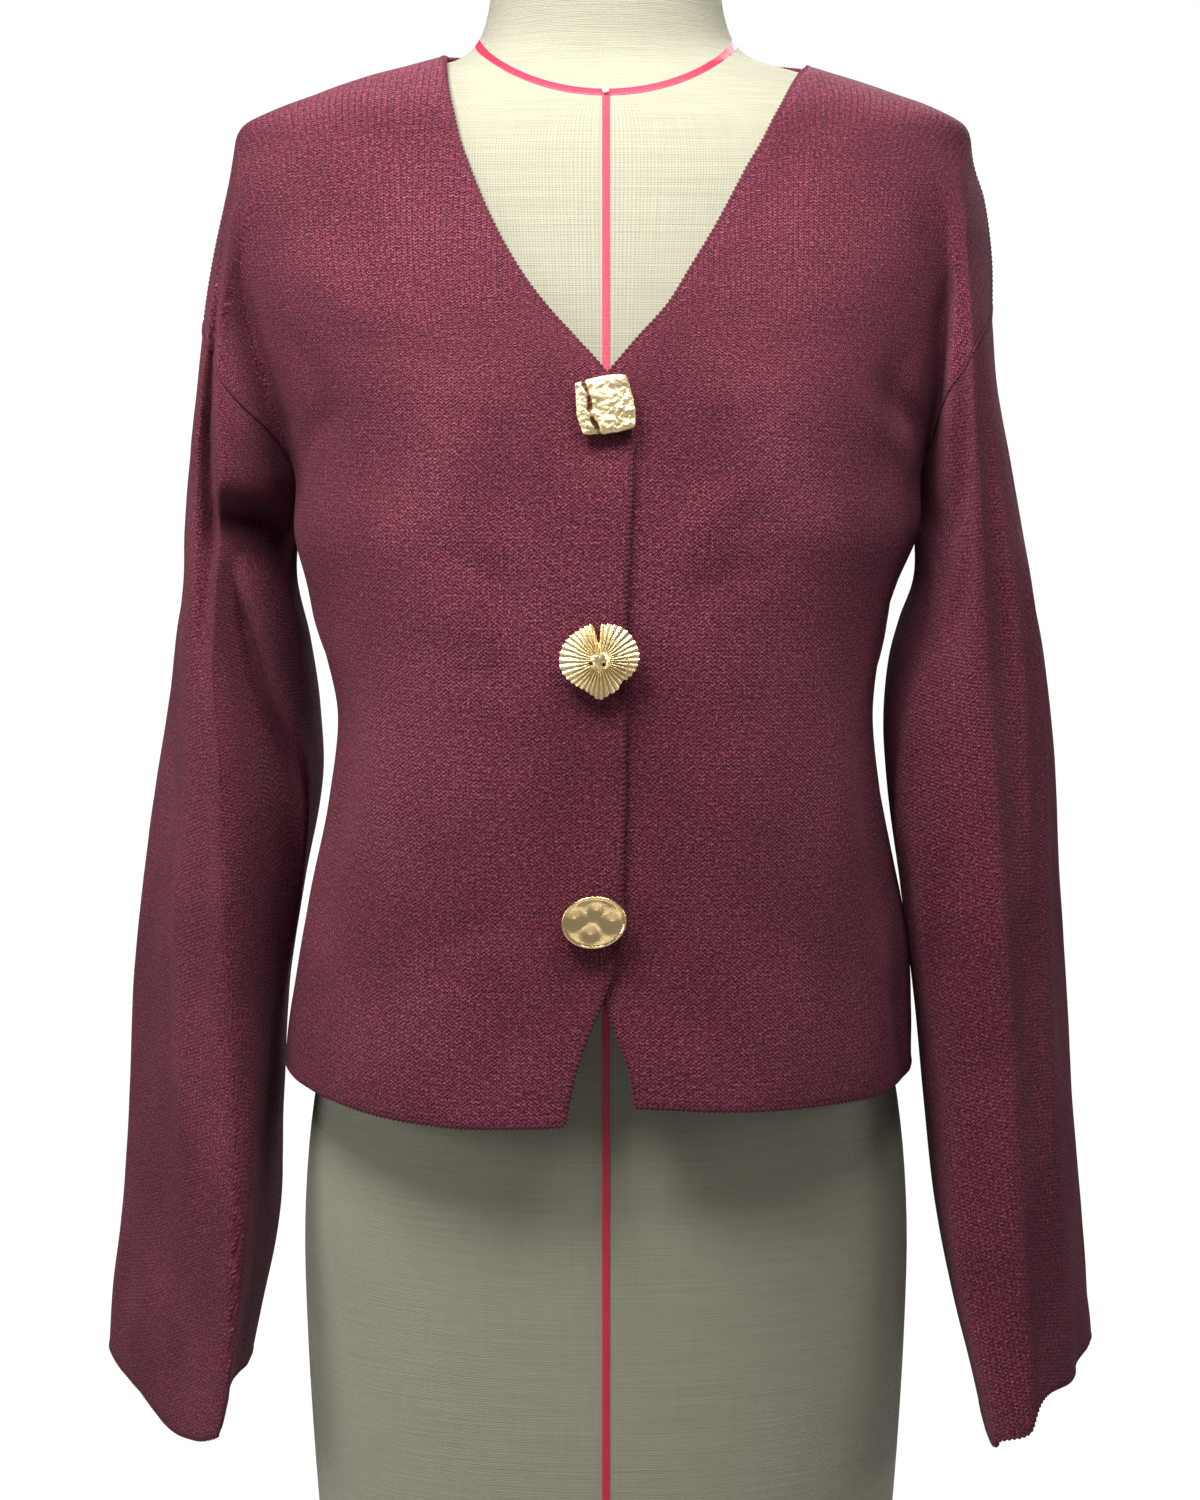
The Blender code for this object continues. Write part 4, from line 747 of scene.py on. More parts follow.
def dressed(side, face, z, way):
    """A point of the skin with the hem's line and, on the right front, the lift over the left front."""
    point = skin(side, face, z, way)
    reach = side * point.x
    hem = read_table(HEM, abs(reach))
    rise = hem.right_front if side == RIGHT else hem.left_front
    rise += (hem.back - rise) * (smooth_step((way - SIDE_WAY) / (1 - SIDE_WAY)) if face == FRONT else 1.0)
    point.z += rise * (1 - smooth_step((z - HEM_Z) / HEM_FADES))
    if side == RIGHT and face == FRONT:
        lift = smooth_step((OVERLAP_REACH + OVERLAP_FADES - reach) / OVERLAP_FADES)
        lift *= 1 - smooth_step((z - OVERLAP_TOP_Z) / OVERLAP_TOP_FADES)
        point.y -= OVERLAP_LIFT * lift
    return point


def front_points(side):
    return [[dressed(side, FRONT, z, way) for z, way in row] for row in half_rows(side, FRONT)]


def back_points():
    halves = {side: half_rows(side, BACK) for side in (RIGHT, LEFT)}
    rows = []
    for right_row, left_row in zip(halves[RIGHT], halves[LEFT]):
        right = [dressed(RIGHT, BACK, z, way) for z, way in right_row]
        rows.append(right[:0:-1] + [dressed(LEFT, BACK, z, way) for z, way in left_row])
    return rows


def cuff_height(side, face, share):
    row = read_table(CUFF, share)
    rises = {
        (RIGHT, FRONT): row.right_front, (RIGHT, BACK): row.right_back,
        (LEFT, FRONT): row.left_front, (LEFT, BACK): row.left_back,
    }
    return CUFF_Z[side] + rises[side, face]


def sleeve_points(side):
    """Rows from the armhole seam to the cuff, round from the underarm by the front to the underarm again."""
    steps = [(FRONT, k / UPPER_ROWS) for k in range(UPPER_ROWS)]
    steps += [(BACK, 1 - k / UPPER_ROWS) for k in range(UPPER_ROWS + 1)]
    rows = []
    for j in range(SLEEVE_ROWS + 1):
        down, row = j / SLEEVE_ROWS, []
        for face, step in steps:
            top, start = seam_place(side, step)
            share = start + (step - start) * smooth_step(down / SHARE_SETTLES)
            z = top + (cuff_height(side, face, step) - top) * down
            row.append(skin(side, face, z, 1 + share) if z > UNDERARM_Z else sleeve_skin(side, face, z, share))
        rows.append(row)
    return rows


def sleeve_skin(side, face, z, share):
    point = arm_point(side, face, z, share)
    return Vector((side * point.x, point.y, z))


def place_key(point):
    return tuple(round(value, 5) for value in point)


def outward(panels):
    """Outward directions at every point of these panels, shared where they meet."""
    normals = {}
    for rows, turn in panels:
        for low, high in zip(rows, rows[1:]):
            for a, b, c, d in zip(low, low[1:], high[1:], high):
                normal = (c - a).cross(d - b) * turn
                for corner in (a, b, c, d):
                    key = place_key(corner)
                    normals[key] = normals.get(key, Vector()) + normal
    return {key: normal.normalized() for key, normal in normals.items()}


def shared_normals(body, arms):
    """The body's and the arms' directions, halfway between the two along the armhole seams."""
    body_normals, arm_normals = outward(body), outward(arms)
    shared = {**body_normals, **arm_normals}
    for key in body_normals.keys() & arm_normals.keys():
        shared[key] = (body_normals[key] + arm_normals[key]).normalized()
    return shared


def seam_pull(rows, normals, sides, turn, tube):
    """How far each point is drawn back from the seams on these sides: half of the gap, across the seam."""
    nv, nu = len(rows) - 1, len(rows[0]) - 1
    pulls = [[Vector() for _ in row] for row in rows]

    def draw_back(i, j, before, after, sign):
        pulls[j][i] += normals[j][i].cross(after - before).normalized() * turn * sign * SEAM_GAP / 2

    for side, i, sign in (("start", 0, -1), ("end", nu, 1)):
        for j in range(nv + 1) if side in sides else ():
            below, above = neighbours(j, nv)
            draw_back(i, j, rows[below][i], rows[above][i], sign)
    for side, j, sign in (("first", 0, 1), ("last", nv, -1)):
        for i in range(nu + 1) if side in sides else ():
            before, after = neighbours(i, nu, tube)
            draw_back(i, j, rows[j][before], rows[j][after], sign)
    return pulls


# ---- The knitted pieces laid flat ----------------------------------------------------------------------
Panel = namedtuple("Panel", "rows flats turn")
Cloth = namedtuple("Cloth", "rows flats normals")


def measured(rows):
    """For each row, how far its points lie from its start and from the first row."""
    along = [0.0] * len(rows[0])
    for j, row in enumerate(rows):
        if j:
            along = [v + (p - q).length for v, p, q in zip(along, row, rows[j - 1])]
        yield distances(row), along


def lay_flat(rows, starts):
    """Each point's place on the flat knitted piece: across from the middle and up from the hem, in metres.

    Above the underarm the piece keeps its width, so the stitches open where the shoulder stretches them."""
    flats = []
    for j, (across, up) in enumerate(measured(rows)):
        if j <= LOWER_ROWS:
            width = starts[j] + across[-1]
        stretch = (width - starts[j]) / across[-1]
        flats.append([(starts[j] + u * stretch, v) for u, v in zip(across, up)])
    return flats


def front_panel(side):
    rows = front_points(side)
    return Panel(rows, lay_flat(rows, [side * row[0].x for row in rows]), -side * FRONT)


def back_panel():
    rows = back_points()
    middle, starts = len(rows[0]) // 2, [0.0] * len(rows)
    right = lay_flat([row[middle::-1] for row in rows], starts)
    left = lay_flat([row[middle:] for row in rows], starts)
    return Panel(rows, [[(-u, v) for u, v in a[:0:-1]] + b for a, b in zip(right, left)], -1)


def sleeve_panel(side):
    """Across is counted from the sleeve's outer line, and along from the armhole down."""
    rows = sleeve_points(side)
    middle = len(rows[0]) // 2
    flats = [[(u - across[middle], v) for u, v in zip(across, down)] for across, down in measured(rows)]
    return Panel(rows, flats, -side)


# ---- Creases -------------------------------------------------------------------------------------------
def creases(*rows):
    """Soft troughs and ridges: the middle's place on the flat piece, the lean in degrees, and the size."""
    return table("u v lean length width height", *rows)


CREASES = {
    "right_front": creases(
        (0.212, 0.242, 42, 0.100, 0.008, -0.0022),
        (0.190, 0.222, 50, 0.085, 0.007, 0.0013),
        (0.222, 0.205, 28, 0.070, 0.006, -0.0012),
        (0.152, 0.128, 7, 0.190, 0.015, -0.0017),
        (0.103, 0.150, -5, 0.210, 0.018, 0.0012),
        (0.196, 0.062, -6, 0.130, 0.012, 0.0018),
        (0.160, 0.034, 4, 0.100, 0.010, -0.0014),
        (0.110, 0.026, -3, 0.070, 0.012, 0.0009),
        (0.066, 0.320, 62, 0.070, 0.006, -0.0007),
        (0.062, 0.204, 84, 0.050, 0.005, -0.0006),
        (0.060, 0.088, 98, 0.055, 0.006, -0.0007),
        (0.160, 0.345, 24, 0.120, 0.011, -0.0016),
        (0.130, 0.420, 14, 0.110, 0.010, 0.0008),
        (0.166, 0.318, -48, 0.075, 0.007, -0.0014),
        (0.056, 0.250, 60, 0.095, 0.009, -0.0014),
        (0.060, 0.224, 66, 0.090, 0.009, 0.0010),
    ),
    "left_front": creases(
        (0.208, 0.236, 46, 0.105, 0.009, -0.0024),
        (0.186, 0.212, 55, 0.080, 0.007, 0.0014),
        (0.150, 0.110, 5, 0.170, 0.014, -0.0015),
        (0.110, 0.160, -8, 0.190, 0.017, 0.0013),
        (0.203, 0.070, -4, 0.140, 0.012, 0.0016),
        (0.172, 0.030, 3, 0.090, 0.010, -0.0016),
        (0.128, 0.024, -5, 0.080, 0.013, 0.0010),
        (0.064, 0.315, 66, 0.060, 0.006, -0.0006),
        (0.160, 0.330, 20, 0.110, 0.012, -0.0014),
        (0.185, 0.400, 12, 0.130, 0.010, 0.0010),
        (0.172, 0.330, -50, 0.085, 0.008, -0.0022),
        (0.158, 0.313, -52, 0.095, 0.009, 0.0016),
        (0.052, 0.270, 50, 0.110, 0.010, 0.0015),
        (0.058, 0.240, 56, 0.100, 0.009, -0.0011),
    ),
    "back": creases(
        (-0.205, 0.238, -44, 0.110, 0.009, -0.0024),
        (0.208, 0.230, 47, 0.100, 0.008, -0.0022),
        (-0.180, 0.215, -52, 0.080, 0.007, 0.0014),
        (0.184, 0.206, 54, 0.085, 0.007, 0.0013),
        (-0.140, 0.130, -6, 0.210, 0.016, -0.0020),
        (-0.085, 0.120, 4, 0.230, 0.018, 0.0016),
        (-0.030, 0.105, -3, 0.190, 0.015, -0.0013),
        (0.036, 0.125, 5, 0.220, 0.017, 0.0014),
        (0.092, 0.110, -4, 0.200, 0.015, -0.0018),
        (0.150, 0.125, 6, 0.210, 0.016, 0.0016),
        (-0.120, 0.400, -22, 0.130, 0.012, -0.0012),
        (0.128, 0.395, 25, 0.120, 0.011, -0.0013),
        (0.000, 0.440, 88, 0.140, 0.012, -0.0009),
        (-0.200, 0.050, 5, 0.110, 0.012, 0.0016),
        (0.200, 0.056, -5, 0.120, 0.011, 0.0015),
    ),
    "right_sleeve": creases(
        (-0.060, 0.250, 4, 0.330, 0.011, -0.0020),
        (-0.030, 0.300, -3, 0.400, 0.012, 0.0018),
        (-0.088, 0.420, -4, 0.220, 0.010, 0.0014),
        (0.020, 0.200, 5, 0.260, 0.014, -0.0015),
        (-0.120, 0.330, 6, 0.240, 0.010, -0.0016),
        (-0.148, 0.200, 10, 0.150, 0.009, 0.0014),
        (0.060, 0.300, -5, 0.320, 0.013, 0.0017),
        (0.095, 0.240, 6, 0.260, 0.011, -0.0018),
        (0.130, 0.380, -6, 0.200, 0.010, 0.0014),
        (-0.020, 0.090, 26, 0.090, 0.008, -0.0012),
        (0.050, 0.100, -24, 0.100, 0.008, -0.0013),
        (-0.105, 0.080, 36, 0.080, 0.007, 0.0014),
        (-0.050, 0.490, 14, 0.080, 0.010, -0.0012),
        (0.040, 0.480, -10, 0.090, 0.011, -0.0012),
    ),
    "left_sleeve": creases(
        (-0.050, 0.240, -3, 0.360, 0.008, -0.0022),
        (-0.028, 0.290, 2, 0.420, 0.012, 0.0014),
        (-0.075, 0.330, 3, 0.300, 0.012, 0.0012),
        (0.022, 0.220, -5, 0.280, 0.013, -0.0014),
        (-0.115, 0.300, -5, 0.260, 0.010, -0.0015),
        (-0.145, 0.190, -9, 0.140, 0.009, 0.0014),
        (0.062, 0.310, 5, 0.300, 0.013, 0.0016),
        (0.098, 0.230, -6, 0.250, 0.011, -0.0018),
        (0.135, 0.370, 6, 0.210, 0.010, 0.0013),
        (-0.018, 0.085, -24, 0.090, 0.008, -0.0012),
        (0.052, 0.095, 22, 0.100, 0.008, -0.0012),
        (-0.100, 0.085, -34, 0.080, 0.007, 0.0013),
        (0.045, 0.470, 12, 0.090, 0.011, -0.0012),
    ),
}
CREASE_SETTLES = 0.014  # over this distance the creases rise from a seam
CREASE_DEPTH = 1.6  # how much stronger than their rows the creases are
CREASE_BEND = 0.5  # how far a crease bends to each side, as a share of its width
OVERLAP_CLEARS = 0.02  # over this distance the fronts' creases rise from the overlap
HANDLING = 0.0005  # the height of the slow unevenness of worn cloth
SLOW_UNEVEN, QUICK_UNEVEN, QUICK_SHARE = (24, 15), (70, 45), 0.45  # its waves to the metre, across and along


def crease_height(crease, u, v):
    """A crease's own height: round across, fading out along, and a little bent."""
    lean = math.radians(crease.lean)
    du, dv = u - crease.u, v - crease.v
    along = (dv * math.cos(lean) + du * math.sin(lean)) * 2 / crease.length
    if abs(along) > 1:
        return 0.0
    across = (du * math.cos(lean) - dv * math.sin(lean)) / crease.width
    across += CREASE_BEND * math.sin(2.2 * along + crease.u * 40)
    return crease.height * math.exp(-across * across) * (1 - along * along) ** 2


def unevenness(waves, u, v, seed):
    return noise.noise((u * waves[0], v * waves[1], seed))


def relief(name, u, v):
    """How far the cloth stands out at a place on the flat piece."""
    seed = len(name)
    uneven = unevenness(SLOW_UNEVEN, u, v, seed) + QUICK_SHARE * unevenness(QUICK_UNEVEN, u, v, seed + 9)
    return HANDLING * uneven + CREASE_DEPTH * sum(crease_height(crease, u, v) for crease in CREASES[name])


def room(flats, i, j, sides):
    """The distance on the flat piece from a point to the nearest seam on these sides."""
    u, v = flats[j][i]
    reach = {
        "start": u - flats[j][0][0], "end": flats[j][-1][0] - u,
        "first": v - flats[0][i][1], "last": flats[-1][i][1] - v,
    }
    return min(reach[side] for side in sides)


def creased(name, panel, directions, seams):
    """The panel with its creases, which fade out towards these seams and under the overlap of the fronts."""
    rows, normals = [], []
    for j, row in enumerate(panel.rows):
        outs = [directions[place_key(point)] for point in row]
        points = []
        for i, (point, out) in enumerate(zip(row, outs)):
            u, v = panel.flats[j][i]
            height = relief(name, u, v) * smooth_step(room(panel.flats, i, j, seams) / CREASE_SETTLES)
            if "front" in name:
                height *= smooth_step((u - OVERLAP_REACH) / OVERLAP_CLEARS)
            moved = point + out * height
            if height < 0 and "sleeve" not in name:
                moved.x, moved.y = clear_of_form(moved.x, moved.y, moved.z)
            points.append(moved)
        rows.append(points)
        normals.append(outs)
    return Cloth(rows, panel.flats, normals)


# ---- Pieces made from their points ---------------------------------------------------------------------


def weld(bm):
    bmesh.ops.remove_doubles(bm, verts=bm.verts, dist=1e-6)


def close_holes(bm):
    bmesh.ops.holes_fill(bm, edges=[e for e in bm.edges if e.is_boundary], sides=0)


def block(columns, rows, size, height):
    """A flat block of cells: a square grid with its copy straight above it."""
    bm = bmesh.new()
    bmesh.ops.create_grid(bm, x_segments=columns, y_segments=rows, size=size)
    made = bmesh.ops.extrude_face_region(bm, geom=bm.faces[:])
    top = [item for item in made["geom"] if isinstance(item, bmesh.types.BMVert)]
    bmesh.ops.translate(bm, vec=(0, 0, height), verts=top)
    return bm


def turned(profile, steps):
    """The profile's (radius, height) places turned all the way round the upright axis."""
    bm = bmesh.new()
    verts = [bm.verts.new((radius, 0.0, z)) for radius, z in profile]
    edges = [bm.edges.new(pair) for pair in zip(verts, verts[1:])]
    bmesh.ops.spin(
        bm, geom=verts + edges, cent=(0, 0, 0), axis=(0, 0, 1), angle=math.tau, steps=steps, use_merge=True
    )
    weld(bm)
    return bm


def cylinder(bm, segments, radius, height, middle_z, cap_ends=True):
    bmesh.ops.create_cone(
        bm, cap_ends=cap_ends, segments=segments, radius1=radius, radius2=radius, depth=height,
        matrix=Matrix.Translation((0, 0, middle_z)),
    )


def add_object(name, data):
    obj = bpy.data.objects.new(name, data)
    bpy.context.scene.collection.objects.link(obj)
    return obj


def add_mesh(name, bm, finish):
    mesh = bpy.data.meshes.new(name)
    bm.to_mesh(mesh)
    bm.free()
    mesh.materials.append(finish)
    return add_object(name, mesh)


def publish(name, bm, finish, sharp=60):
    """Turns a finished bmesh into a piece; edges that turn by more than `sharp` degrees stay sharp."""
    bmesh.ops.recalc_face_normals(bm, faces=bm.faces)
    if bm.calc_volume(signed=True) < 0:
        bmesh.ops.reverse_faces(bm, faces=bm.faces)
    obj = add_mesh(name, bm, finish)
    obj.data.shade_smooth()
    obj.data.set_sharp_from_angle(angle=math.radians(sharp))
    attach(obj, "root")
    return obj


def slab(name, layers, flats, finish, tube=False, rounding=0.0):
    """A closed wall: a flat slab of cells, each of whose corners is moved to its place in the two layers."""
    nv, nu = len(flats) - 1, len(flats[0]) - 1
    bm = block(nu, nv, 0.5, 1)
    bm.normal_update()
    if tube:
        bmesh.ops.delete(bm, geom=[f for f in bm.faces if abs(f.normal.x) > 0.5], context="FACES")
    uv = bm.loops.layers.uv.new("flat")
    for face in bm.faces:
        rim = int(abs(face.normal.z) < 0.5)
        face.material_index = rim
        for loop in face.loops:
            place = loop.vert.co
            u, v = flats[round((place.y + 0.5) * nv)][round((place.x + 0.5) * nu)]
            past = rim * place.z * KNIT
            loop[uv].uv = (u + face.normal.x * past, v + face.normal.y * past)
    for vert in bm.verts:
        i, j = round((vert.co.x + 0.5) * nu), round((vert.co.y + 0.5) * nv)
        vert.co = layers[round(vert.co.z)][j][i]
    if tube:
        weld(bm)
    if rounding:
        bm.normal_update()
        rims = [e for e in bm.edges if len({f.material_index for f in e.link_faces}) == 2]
        bmesh.ops.bevel(bm, geom=rims, offset=rounding, segments=2, profile=0.5, affect="EDGES", material=-1)
    for face in bm.faces:
        face.material_index = 0
    return publish(name, bm, finish)


def knitted(name, cloth, panel, seams, finish, tube=False):
    """One knitted piece of the cardigan, drawn back a little from its seams, with rounded rims."""
    pulls = seam_pull(cloth.rows, cloth.normals, seams, panel.turn, tube)
    layers = [
        [[p - n * depth + q for p, n, q in zip(*lines)] for lines in zip(cloth.rows, cloth.normals, pulls)]
        for depth in (0.0, KNIT)
    ]
    piece = slab(name, layers, cloth.flats, finish, tube, RIM_ROUND)
    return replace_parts(piece, name[:-5])


# ---- Chains of yarn along rims and seams ---------------------------------------------------------------
Rim = namedtuple("Rim", "point out face")  # a place on an edge, the way out of the edge, the cloth's outside
BEAD = 0.0024  # the length of one loop of a chain
BEAD_SWELL = 0.32  # how far a loop swells, as a share of the chain's radius
CHAIN_SIDES = 6


def rim_line(cloth, side, sunk):
    """The edge of a piece as a line of places, this deep in its wall."""
    rows, normals = cloth.rows, cloth.normals
    edge, inside, faces = {
        "start": ([r[0] for r in rows], [r[1] for r in rows], [n[0] for n in normals]),
        "end": ([r[-1] for r in rows], [r[-2] for r in rows], [n[-1] for n in normals]),
        "first": (rows[0], rows[1], normals[0]),
        "last": (rows[-1], rows[-2], normals[-1]),
    }[side]
    return [Rim(p - n * sunk, (p - q).normalized(), n) for p, q, n in zip(edge, inside, faces)]


def blend_rims(a, b, t):
    return Rim(a.point.lerp(b.point, t), a.out.lerp(b.out, t).normalized(), a.face.lerp(b.face, t).normalized())


def round_line(line, step, closed):
    """The line read at even steps, smoothly round its bends."""
    reached = distances([rim.point for rim in line])
    even = []
    for i, t in even_steps(reached, max(round(reached[-1] / step), 4)):
        before = line[i - 1] if i else line[-2] if closed else line[0]
        after = line[i + 2] if i + 2 < len(line) else line[1] if closed else line[-1]
        a, b, c, d = before.point, line[i].point, line[i + 1].point, after.point
        rim = blend_rims(line[i], line[i + 1], t)
        t2, t3 = t * t, t * t * t
        point = (2 * b + (c - a) * t + (2 * a - 5 * b + 4 * c - d) * t2 + (3 * b - 3 * c + d - a) * t3) / 2
        even.append(Rim(point, rim.out, rim.face))
    return even, reached[-1]


def yarn_chain(name, line, radius, finish, closed=False):
    """A round selvedge of small loops that follows an edge or a seam."""
    line, length = round_line(line, BEAD / 4, closed)
    beads, count = max(round(length / BEAD), 1), len(line) - 1
    bm = bmesh.new()
    bmesh.ops.create_grid(bm, x_segments=CHAIN_SIDES, y_segments=count, size=0.5)
    uv = bm.loops.layers.uv.new("flat")
    for face in bm.faces:
        for loop in face.loops:
            loop[uv].uv = ((loop.vert.co.x + 0.5) * radius * math.tau, (loop.vert.co.y + 0.5) * length)
    for vert in bm.verts:
        k, angle = round((vert.co.y + 0.5) * count), (vert.co.x + 0.5) * math.tau
        rim = line[k]
        reach = radius * (1 + BEAD_SWELL * math.cos(math.tau * beads * k / count + angle))
        vert.co = rim.point + (rim.out * math.cos(angle) + rim.face * math.sin(angle)) * reach
    weld(bm)
    close_holes(bm)
    return publish(name, bm, finish)


# ---- Finishes ------------------------------------------------------------------------------------------


class Socket:
    """An output in a material. Sums written with it add the material's Math nodes."""

    def __init__(self, maker, link):
        self.maker, self.link = maker, link

    def math(self, operation, other=0.0, reflected=False):
        pair = (other, self) if reflected else (self, other)
        return self.maker.node("Math", {"operation": operation}, {0: pair[0], 1: pair[1]})

    def __add__(self, other):
        return self.math("ADD", other)

    def __sub__(self, other):
        return self.math("SUBTRACT", other)

    def __rsub__(self, other):
        return self.math("SUBTRACT", other, reflected=True)

    def __mul__(self, other):
        return self.math("MULTIPLY", other)

    def __pow__(self, other):
        return self.math("POWER", other)

    __radd__, __rmul__ = __add__, __mul__


class Finish:
    """A material under the maker's hand: one Principled shader and the nodes that feed it."""

    def __init__(self, name, **constants):
        self.material = bpy.data.materials.new(name)
        self.material.use_nodes = True
        self.tree = self.material.node_tree
        self.shader = next(node for node in self.tree.nodes if node.type == "BSDF_PRINCIPLED")
        for socket, value in constants.items():
            self.shader.inputs[socket.replace("_", " ").title().replace("Ior", "IOR")].default_value = value

    def node(self, kind, settings=None, inputs=None, output=0):
        made = self.tree.nodes.new("ShaderNode" + kind)
        for setting, value in (settings or {}).items():
            setattr(made, setting, value)
        for socket, value in (inputs or {}).items():
            self.feed(made.inputs[socket], value)
        return Socket(self, made.outputs[output])

    def feed(self, socket, value):
        if isinstance(value, Socket):
            self.tree.links.new(value.link, socket)
        else:
            socket.default_value = value

    def flat(self):
        """The place on the flat piece, across and along, in metres."""
        place = self.node("UVMap", {"uv_map": "flat"})
        return place, self.part(place, 0), self.part(place, 1)

    def place(self):
        return self.node("TexCoord", output=3)

    def part(self, vector, which):
        return self.node("SeparateXYZ", inputs={0: vector}, output=which)

    def noise(self, vector, scale, detail=2.0, roughness=0.5):
        inputs = {"Vector": vector, "Scale": scale, "Detail": detail, "Roughness": roughness}
        return self.node("TexNoise", inputs=inputs)

    def streaks(self, vector, x, y, z, detail=2.0):
        """Noise with so many waves to the metre along each axis."""
        stretched = self.node("VectorMath", {"operation": "MULTIPLY"}, {0: vector, 1: (x, y, z)})
        return self.noise(stretched, 1.0, detail)

    def wave(self, value, length):
        return (value * (math.tau / length)).math("SINE")

    def between(self, value, low, high):
        """0 below low, 1 above high, and smooth between them."""
        inputs = {"Value": value, "From Min": low, "From Max": high}
        return self.node("MapRange", {"interpolation_type": "SMOOTHSTEP"}, inputs)

    def mix(self, share, a, b):
        a, b = ((*colour, 1.0) if isinstance(colour, tuple) else colour for colour in (a, b))
        return self.node("Mix", {"data_type": "RGBA"}, {0: share, 6: a, 7: b}, output=2)

    def made(self, colour, height=None, depth=0.0, roughness=None):
        """The material, once its colour, relief and roughness are fed."""
        self.feed(self.shader.inputs["Base Color"], colour)
        if roughness is not None:
            self.feed(self.shader.inputs["Roughness"], roughness)
        if height is not None:
            bump = self.node("Bump", inputs={"Height": height, "Distance": depth})
            self.feed(self.shader.inputs["Normal"], bump)
        return self.material


WOOL = {
    "roughness": 0.85, "specular_ior_level": 0.15,
    "sheen_weight": 0.12, "sheen_roughness": 0.40, "sheen_tint": (1.0, 0.50, 0.64, 1.0),
}


def fine_knit(name):
    """Burgundy stockinette: columns of V stitches in a softly mottled, slightly hairy yarn."""
    finish = Finish(name, **WOOL)
    flat, across, along = finish.flat()
    sway = finish.noise(flat, 90.0) - 0.5
    column = (across + sway * 0.0008) * (1 / WALE)
    leg = ((column.math("FRACT") - 0.5) * 2.0).math("ABSOLUTE")
    course = ((along + sway * 0.0007) * (1 / COURSE) - leg * 0.85) * math.tau
    ribbed = finish.between(along, 0.30, 0.44)
    ridge = 1.0 - leg ** 4.0 * (0.40 + ribbed * 0.45) - (1.0 - leg) ** 5.0 * 0.30
    stitch = ridge * (0.56 + course.math("COSINE") * 0.44)
    fibre = finish.noise(flat, 820.0, 3.0, 0.72)
    clump = finish.noise(flat, 420.0, 2.0, 0.6)
    mottle = finish.noise(flat, 26.0, 3.0, 0.6)
    plain = finish.between(finish.noise(flat, 9.0, 1.0), 0.35, 0.65)
    height = stitch * 0.62 + (fibre - 0.5) * 2.1 + (clump - 0.5) * 0.7
    # The colour follows the stitches' height: darker in the grooves between them and lighter on their crests,
    # which is painted shade and painted light; the fibre and mottle noise add the yarn's own melange.
    tone_and_groove_shade = finish.between(height - stitch * plain * 0.20 + (mottle - 0.5) * 0.25, -0.20, 1.0)
    base = finish.mix(finish.between(tone_and_groove_shade, 0.0, 0.6), (0.040, 0.0065, 0.013), (0.205, 0.034, 0.061))
    # The lightest colour is painted light on the stitches' crests, laid over the lighter fibres of the melange.
    lit = finish.mix(finish.between(tone_and_groove_shade, 0.55, 1.05), base, (0.460, 0.142, 0.205))
    return finish.made(lit, height, 0.0009)


def selvedge_yarn(name):
    """The same yarn where it is linked into a chain: a twist runs round it."""
    finish = Finish(name, **WOOL)
    flat, across, along = finish.flat()
    twist = finish.wave(across + along, 0.0011) * 0.5 + 0.5
    height = twist * 0.6 + (finish.noise(flat, 1500.0, 3.0, 0.65) - 0.5) * 0.8
    # The colour follows the twist's height, darker in its grooves: painted shade. Both colours are kept darker
    # than the knit's, a painted shade for the shadow along the front edge.
    tone_and_groove_shade = finish.between(height, -0.1, 1.0)
    return finish.made(finish.mix(tone_and_groove_shade, (0.045, 0.008, 0.015), (0.200, 0.042, 0.070)), height, 0.0003)


def cream_linen(name):
    """A cream linen cover: a plain weave with thicker threads here and there."""
    finish = Finish(name, roughness=0.9, sheen_weight=0.12, specular_ior_level=0.2)
    flat, across, along = finish.flat()
    warp, weft = finish.wave(across, 0.0009), finish.wave(along, 0.0008)
    slub, upright = finish.streaks(flat, 25.0, 900.0, 1.0), finish.streaks(flat, 900.0, 25.0, 1.0)
    height = warp * weft * 0.35 + weft * 0.25 + (slub - 0.5) * 1.1 + (upright - 0.5) * 0.5
    # The colour follows the weave's height: darker where the threads dip, which is painted shade in the weave;
    # the slubs and streaks add the cloth's own uneven tone.
    base = finish.mix(finish.between(height, -0.9, 0.9), (0.24, 0.235, 0.172), (0.36, 0.353, 0.274))
    toned = finish.mix((finish.noise(flat, 14.0, 3.0) - 0.35) * 0.5, base, (0.310, 0.306, 0.230))
    return finish.made(toned, height, 0.00022)


def red_tape(name):
    """A narrow satin tape with fine ribs across it and a firm edge."""
    finish = Finish(name, specular_ior_level=0.5)
    flat, along, _ = finish.flat()
    thread = finish.streaks(flat, 300.0, 4000.0, 1.0)
    height = (finish.wave(along, 0.0006) * 0.5 + 0.5) * 0.7 + thread * 0.5
    wear = finish.noise(flat, 60.0, 3.0) - 0.5
    # The red follows the ribs' height: darker between the ribs and lighter on them, which is painted shade and
    # painted light; the wear noise adds an uneven tone.
    red = finish.mix(height * 0.8 + wear * 0.5, (0.36, 0.006, 0.030), (0.74, 0.022, 0.075))
    return finish.made(red, height, 0.00012, 0.30 + thread * 0.25)


